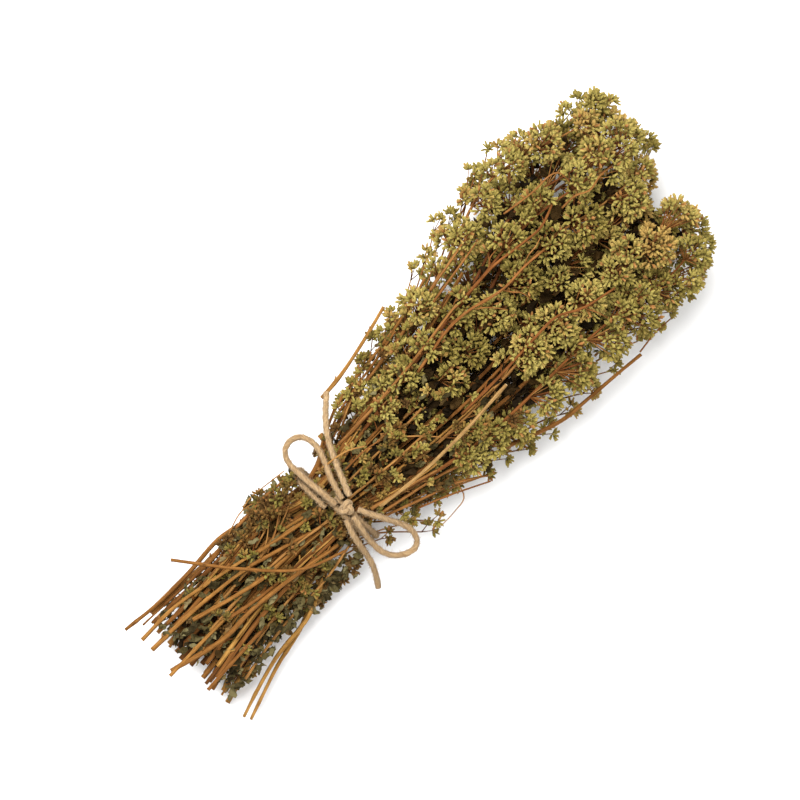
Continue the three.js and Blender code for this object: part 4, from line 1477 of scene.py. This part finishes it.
def strew_leaves(name, many, low_x, high_x, seed, small, large, material=LEAVES, innermost=0.25, reach=1.02):
    lot = lots(seed)
    batch = Batch()
    places, out = strewn(many, low_x, high_x, lot, innermost, reach)
    for place, outward in zip(places, out):
        along = unit_vectors(np.array([lot.choice([-1, 1]), *lot.normal(0, 0.45, 2)]))
        facing = unit_vectors(outward + lot.normal(0, 0.5, 3))
        length = lot.uniform(small, large)
        add_leaf(
            batch, place, along, facing, length, length * lot.uniform(0.4, 0.65), lot.uniform(-0.7, 0.7),
            lot.uniform(-0.6, 0.6), lot.uniform(0, 1), STREWN_CRUMPLE,
        )
    batch.make(name, material, "leaf")


def strew_florets(name, many, low_x, high_x, seed, material, reach=1.0, innermost=0.3):
    lot = lots(seed)
    florets, twigs = Batch(), Batch()
    places, out = strewn(many, low_x, high_x, lot, innermost, reach)
    for place, outward in zip(places, out):
        radius = lot.uniform(1.8, 3.4)
        axis = unit_vectors(np.array([lot.uniform(0.3, 1.2), 0, 0]) + outward + lot.normal(0, 0.3, 3))
        if place[2] > radius and not (is_bare_patch(place) and lot.uniform() < 0.6):
            root, mood = place - axis * radius * 1.4, lot.uniform(0, 1)
            add_tuft(florets, twigs, root, place, radius, lot, mood, kinds=SMALL_SPIKELETS)
    florets.make(name, material, "floret")
    twigs.make(f"{name}_twigs", TWIG_BARK, "stem")


# %% Strewing
strew_leaves("leaves_at_foot", 400, -91, -45, 5001, 2.5, 6.5)
strew_leaves("leaves_at_waist", 270, -50, 14, 5002, 2.5, 6.0)
strew_leaves("leaves_above_tie", 300, 8, 75, 5003, 2.5, 6.0)
# Painted shade: near-black leaves strewn deep inside, so the hollows look shadowed and no floor shows
# through.
strew_leaves("painted_shade_leaves_inside", 800, 20, 176, 5004, 4.0, 9.0, PAINTED_SHADE_LEAVES, 0.0, 0.7)
strew_leaves("painted_shade_leaves_at_foot", 300, -88, 20, 5005, 4.0, 8.0, PAINTED_SHADE_LEAVES, 0.0, 0.8)
strew_florets("crumbs_at_foot", 80, -80, -30, 5101, BROWN_FLORETS)
strew_florets("crumbs_at_waist", 130, -45, 12, 5102, BROWN_FLORETS)
strew_florets("crumbs_above_tie", 150, 8, 70, 5103, FLORETS)
strew_florets("crumbs_round_the_edge", 170, 5, 75, 5104, BROWN_FLORETS, reach=1.12, innermost=0.85)
print("strewn leaves:", TRIANGLES["leaves_at_foot"] // len(SMALL_BLADE[1]), "at the foot alone")

# %% [markdown]
# ## Sprigs that stand out of the edge
# The edge of a bunch is never closed. Single sprigs, loose leaves and thin side twigs stand out of it.
# Their places are given as points of the picture, because that is where they were measured, with
# a height for each in mm.

# %% Places at the edge
EDGE_SPRIGS = [
    # pixel, height and radius in mm
    (422, 208, 34, 3.4), (484, 131, 30, 4.6), (450, 153, 30, 2.6), (460, 156, 30, 2.4), (468, 128, 30, 1.9),
    (505, 140, 34, 4.4), (452, 181, 32, 4.0), (443, 208, 32, 3.6), (436, 232, 32, 3.8), (424, 250, 30, 3.6),
    (413, 268, 28, 3.4), (567, 110, 30, 4.2), (582, 98, 34, 3.6), (595, 99, 40, 4.8), (608, 100, 36, 3.8),
    (616, 114, 34, 3.0), (643, 138, 34, 4.2), (652, 147, 34, 3.8), (632, 128, 36, 3.6), (684, 206, 34, 3.2),
    (698, 224, 36, 5.2), (706, 243, 34, 4.2), (704, 262, 32, 4.4), (701, 284, 30, 4.2), (692, 299, 26, 3.8),
    (672, 312, 26, 4.2), (661, 326, 24, 3.2), (649, 342, 22, 2.6), (640, 328, 24, 3.6), (622, 372, 20, 3.2),
    (598, 392, 18, 3.8), (575, 412, 18, 4.0), (552, 430, 16, 4.2), (528, 445, 14, 4.0), (505, 455, 14, 3.6),
    (484, 463, 14, 3.4), (389, 535, 22, 2.6), (414, 519, 20, 3.0), (354, 566, 16, 3.6),
    (345, 575, 14, 3.0), (320, 598, 12, 2.8), (439, 517, 18, 2.6), (430, 528, 18, 2.8), (488, 474, 22, 2.0),
    (250, 512, 26, 3.0), (262, 498, 28, 3.0), (247, 528, 24, 3.2), (282, 484, 28, 2.8), (353, 385, 30, 3.4),
    (268, 503, 31, 4.0), (278, 494, 32, 4.2), (288, 486, 33, 3.8), (273, 512, 34, 3.6), (260, 517, 31, 4.0),
    (252, 527, 30, 3.6), (296, 478, 32, 3.2), (243, 538, 28, 3.2), (234, 548, 27, 3.0), (283, 502, 35, 3.2),
    (362, 362, 32, 3.4), (375, 340, 34, 3.6), (390, 318, 34, 3.6), (229, 537, 25, 2.8), (224, 546, 24, 2.6),
]
EDGE_LEAVES = [
    # pixel and height in mm
    (318, 600, 15), (326, 592, 16), (334, 582, 17), (310, 604, 15), (303, 610, 14), (343, 572, 18),
    (296, 616, 14), (350, 562, 18), (305, 600, 18), (252, 508, 26), (262, 502, 27), (275, 492, 28),
    (246, 524, 26), (240, 536, 25), (292, 480, 28), (232, 548, 25), (362, 552, 22), (286, 622, 15),
    (278, 630, 15),
]
THIN_TWIGS = [
    # radius in mm, then pixels and heights along it
    (0.85, [(371, 509, 31), (404, 489, 33), (437, 470, 35)]),
    (0.8, [(381, 513, 28), (439, 476, 31), (477, 458, 32)]),
    (0.7, [(378, 519, 25), (422, 499, 27), (456, 483, 28), (489, 475, 27)]),
    (0.5, [(418, 508, 24), (447, 496, 25), (470, 488, 26), (491, 481, 26)]),
    (0.3, [(452, 476, 26), (464, 496, 24), (455, 511, 21), (441, 526, 18)]),
    (0.35, [(243, 508, 27), (252, 496, 28), (262, 488, 29), (284, 471, 30)]),
    (0.8, [(236, 528, 27), (265, 497, 31), (292, 474, 32)]),
    (0.3, [(226, 540, 26), (241, 512, 28), (262, 500, 30), (290, 490, 33)]),
    (0.5, [(597, 130, 38), (604, 116, 37), (606, 100, 36)]),
    (0.45, [(626, 317, 30), (652, 304, 29), (680, 292, 28)]),
    (0.4, [(640, 352, 27), (655, 333, 26), (676, 314, 26)]),
    (0.5, [(322, 468, 38), (345, 452, 40), (365, 446, 42)]),
    (0.4, [(398, 437, 42), (420, 436, 43), (441, 437, 44)]),
    (0.45, [(345, 470, 39), (363, 452, 41), (380, 440, 43)]),
]
print("sprigs, places of leaves and twigs:", len(EDGE_SPRIGS), len(EDGE_LEAVES), len(THIN_TWIGS))

# %% [markdown]
# Some stems lie on top of everything. Over the heads they run half sunk between the flowers, and over
# the foot they lie open, with pale cut ends. Their height follows the bundle's upper side, so only
# their points in the picture are given.

# %% Stems that lie on top
TOP_STEMS = [
    # radius in mm, then pixels along it
    (0.85, [(333, 451), (366, 416), (396, 382), (428, 342), (454, 308), (469, 297)]),
    (0.8, [(418, 372), (445, 333), (467, 312), (502, 290), (524, 267), (545, 249)]),
    (0.75, [(455, 310), (480, 280), (498, 262), (524, 242), (541, 227), (552, 205)]),
    (0.75, [(462, 414), (498, 378), (533, 340), (556, 317), (583, 308), (615, 288)]),
    (0.5, [(504, 214), (533, 192), (548, 177), (559, 173), (570, 182)]),
    (0.5, [(562, 208), (575, 196), (590, 190), (600, 176), (612, 166)]),
    (0.7, [(430, 291), (446, 268), (458, 250), (467, 236)]),
    (0.6, [(432, 304), (448, 282), (464, 260), (476, 243)]),
    (0.35, [(502, 290), (512, 292), (522, 293), (532, 300)]),
    (0.35, [(524, 267), (528, 256), (536, 246), (541, 236)]),
    (0.35, [(583, 308), (596, 312), (608, 318)]),
    (0.35, [(467, 312), (482, 308), (496, 308), (508, 310)]),
    (0.35, [(480, 280), (488, 270), (490, 258), (498, 248)]),
]
FOOT_STEMS = [
    # radius in mm, then pixels along it
    (1.14, [(171, 671), (222, 640), (254, 608), (300, 572), (338, 545)]),
    (1.14, [(193, 620), (232, 598), (263, 578), (292, 552)]),
    (0.95, [(228, 619), (256, 600), (284, 578)]),
    (1.045, [(152, 650), (190, 614), (235, 577), (262, 560)]),
    (0.95, [(142, 640), (176, 606), (225, 572), (262, 548)]),
    (0.95, [(170, 676), (206, 638), (240, 604)]),
    (0.95, [(208, 690), (238, 656), (266, 626)]),
    (0.855, [(258, 552), (292, 530), (322, 508)]),
    (0.855, [(250, 566), (290, 544), (326, 524)]),
]
TOP_SINK = (9, 4, 8)
FOOT_SINK = (2.4, 2.4, 7)


def placed_at(px, py, height):
    """The place of a pixel at a height, drawn in a little because higher things look larger."""
    nearer = 1 - (height - MID_HEIGHT / MM) / (CAMERA_HEIGHT / MM)
    half = PICTURE_SIZE / 2
    x, y = from_pixel(half + (px - half) * nearer, half + (py - half) * nearer)
    return np.array([x, y, height])


def on_top(px, py, depth):
    """The place of a pixel at a depth under the bundle's upper side."""
    height = 40.0
    for _ in range(4):
        x, y, _ = placed_at(px, py, height)
        middle_y, middle_z, half_across, half_up, _ = section(x)
        share = min(abs((y - middle_y) / half_across), 0.95)
        height = float(middle_z + half_up * math.sqrt(1 - share ** 2)) - depth
    return placed_at(px, py, height)


def line_on_top(route, sink, count):
    """A line through pixels, sunk by one depth at its start, one along it and one at its end."""
    depths = [sink[0], *[sink[1]] * (len(route) - 2), sink[2]]
    return smooth_line([on_top(*pixel, depth) for pixel, depth in zip(route, depths)], count)


lot = lots(6001)
florets, brown, twigs, over = Batch(), Batch(), Batch(), Batch()
for radius, route in TOP_STEMS:
    add_stem(twigs, line_on_top(route, TOP_SINK, 24), radius, lot.uniform(0.35, 0.8), lot, 0.35, ROUND_TWIG)
for radius, route in FOOT_STEMS:
    add_stem(over, line_on_top(route, FOOT_SINK, 30), radius, lot.uniform(0.3, 0.85), lot, 0.2)
over.make("foot_stems_on_top", BARK, "stem", smooth=True)
print("stems on top:", len(TOP_STEMS), "at the heads and", len(FOOT_STEMS), "at the foot")

# %% [markdown]
# Each sprig at the edge is a small tuft on a thin twig that starts inside the bunch, so nothing hangs
# in the air. The furthest ones are drawn in by about half of what they reach too far, to keep the model
# within the size of its CAD solids.

# %% Sprigs at the edge
DRAWN_IN_FROM = 48
DRAWN_IN_SHARE = 0.54
SPRIG_TWIG_RADIUS = 0.42
SPRIG_DENSITY = 1.6
GREEN_FROM = 60
TIE_END = 8
for px, py, height, radius in EDGE_SPRIGS:
    centre = placed_at(px, py, height)
    side = 1 if centre[1] > 0 else -1
    reach = side * centre[1] + 1.3 * radius
    centre[1] -= side * max(reach - DRAWN_IN_FROM, 0) * DRAWN_IN_SHARE
    root = centre - np.array([radius * 1.3, side * radius * 0.5, radius * 1.1])
    inside = centre - np.array([lot.uniform(16, 24), side * lot.uniform(8, 11), lot.uniform(2, 5)])
    middle_y, _, half_across, _, _ = section(inside[0])
    inside[1] = side * min(side * inside[1], side * middle_y + half_across * 0.85)
    line = smooth_line([inside, (inside + root) / 2 - [0, side * 0.8, 0], root], 9)
    add_stem(twigs, line, SPRIG_TWIG_RADIUS, lot.uniform(0.4, 1), lot, 0.3, ROUND_TWIG, stubs=False)
    batch = florets if centre[0] > GREEN_FROM else brown
    mood = lot.uniform(0.4, 0.95) if centre[0] > TIE_END else lot.uniform(0, 0.5)
    add_tuft(batch, twigs, root, centre, radius, lot, mood, SPRIG_DENSITY, SMALL_SPIKELETS)
print("furthest sprig:", round(max(abs(point[:, 1]).max() for point in florets.points), 1), "mm to the side")

# %% [markdown]
# Thin bare twigs and a few clusters of leaves finish the edge. They are small, but they give the
# outline its fine, broken look, which tufts alone don't have.

# %% Thin twigs and leaves at the edge
LEAVES_AT_PLACE = 7
for radius, route in THIN_TWIGS:
    line = smooth_line([placed_at(*point) for point in route], 16)
    add_stem(twigs, line, radius, lot.uniform(0.55, 1), lot, 0.3, ROUND_TWIG, stubs=radius > 0.6)
leaves = Batch()
for px, py, height in EDGE_LEAVES:
    for _ in range(LEAVES_AT_PLACE):
        along = unit_vectors(lot.normal(0, 1, 3) * [1, 1, 0.5])
        length = lot.uniform(2.5, 5.5)
        place = placed_at(px, py, height) + lot.normal(0, 1.6, 3)
        add_leaf(
            leaves, place, along, np.array([0, 0.2, 1.0]), length, length * lot.uniform(0.45, 0.65),
            lot.uniform(-0.6, 0.6), lot.uniform(-0.5, 0.5), lot.uniform(0.1, 1),
        )
leaves.make("edge_leaves", LEAVES, "leaf")
florets.make("edge_florets", FLORETS, "floret")
brown.make("edge_brown_florets", BROWN_FLORETS, "floret")
twigs.make("edge_twigs", TWIG_BARK, "stem", smooth=True)
largest = max(TRIANGLES, key=TRIANGLES.get)
print("triangles:", sum(TRIANGLES.values()), "largest", largest, TRIANGLES[largest])

# %% [markdown]
# ## Floor and light
# The photo's bundle lies on pure white under soft light that comes from above and from the upper left.
# A large soft lamp gives that, with a weak white sky that lets the hollows stay dark.

# %% Floor
FLOOR_SIZE = 6
FLOOR_WHITE = 0.93
bpy.ops.mesh.primitive_plane_add(size=FLOOR_SIZE, location=(0, 0, -0.0002))
floor = bpy.context.object
floor.name = "floor"
paint, tree, shader = new_material("floor_paint", 0.9)
shader.inputs["Base Color"].default_value = (*[FLOOR_WHITE] * 3, 1)
floor.data.materials.append(paint)
print("floor of", FLOOR_SIZE, "m")

# %% Lamps and sky
SKY_STRENGTH = 0.5


def lamp(name, towards, distance, size, power):
    """A soft square lamp, in a direction given in the picture: right, up and toward the viewer."""
    right, up, near = towards
    cos, sin = math.cos(BUNDLE_SLANT), math.sin(BUNDLE_SLANT)
    direction = unit_vectors(np.array([right * cos + up * sin, up * cos - right * sin, near]))
    data = bpy.data.lights.new(name, "AREA")
    data.size = size
    data.energy = power
    light = bpy.data.objects.new(name, data)
    light.location = direction * distance
    light.rotation_euler = Vector(direction).to_track_quat("Z", "Y").to_euler()
    bpy.context.collection.objects.link(light)


lamp("key_lamp", (-0.3, 0.45, 1.3), 1.6, 1.1, 50)
lamp("fill_lamp", (0.6, -0.4, 1.4), 1.8, 1.6, 14)
world = bpy.data.worlds.new("sky")
world.use_nodes = True
background = world.node_tree.nodes["Background"]
background.inputs["Color"].default_value = (1, 1, 1, 1)
background.inputs["Strength"].default_value = SKY_STRENGTH
bpy.context.scene.world = world
bpy.context.scene.view_settings.view_transform = "Standard"
print("lamps:", len(bpy.data.lights))

# %% [markdown]
# ## Pieces
# The finished model stays in the CAD model's box, but for a few mm of foliage. The number of pieces is
# printed.

# %% Finish
print("pieces:", len(TRIANGLES))
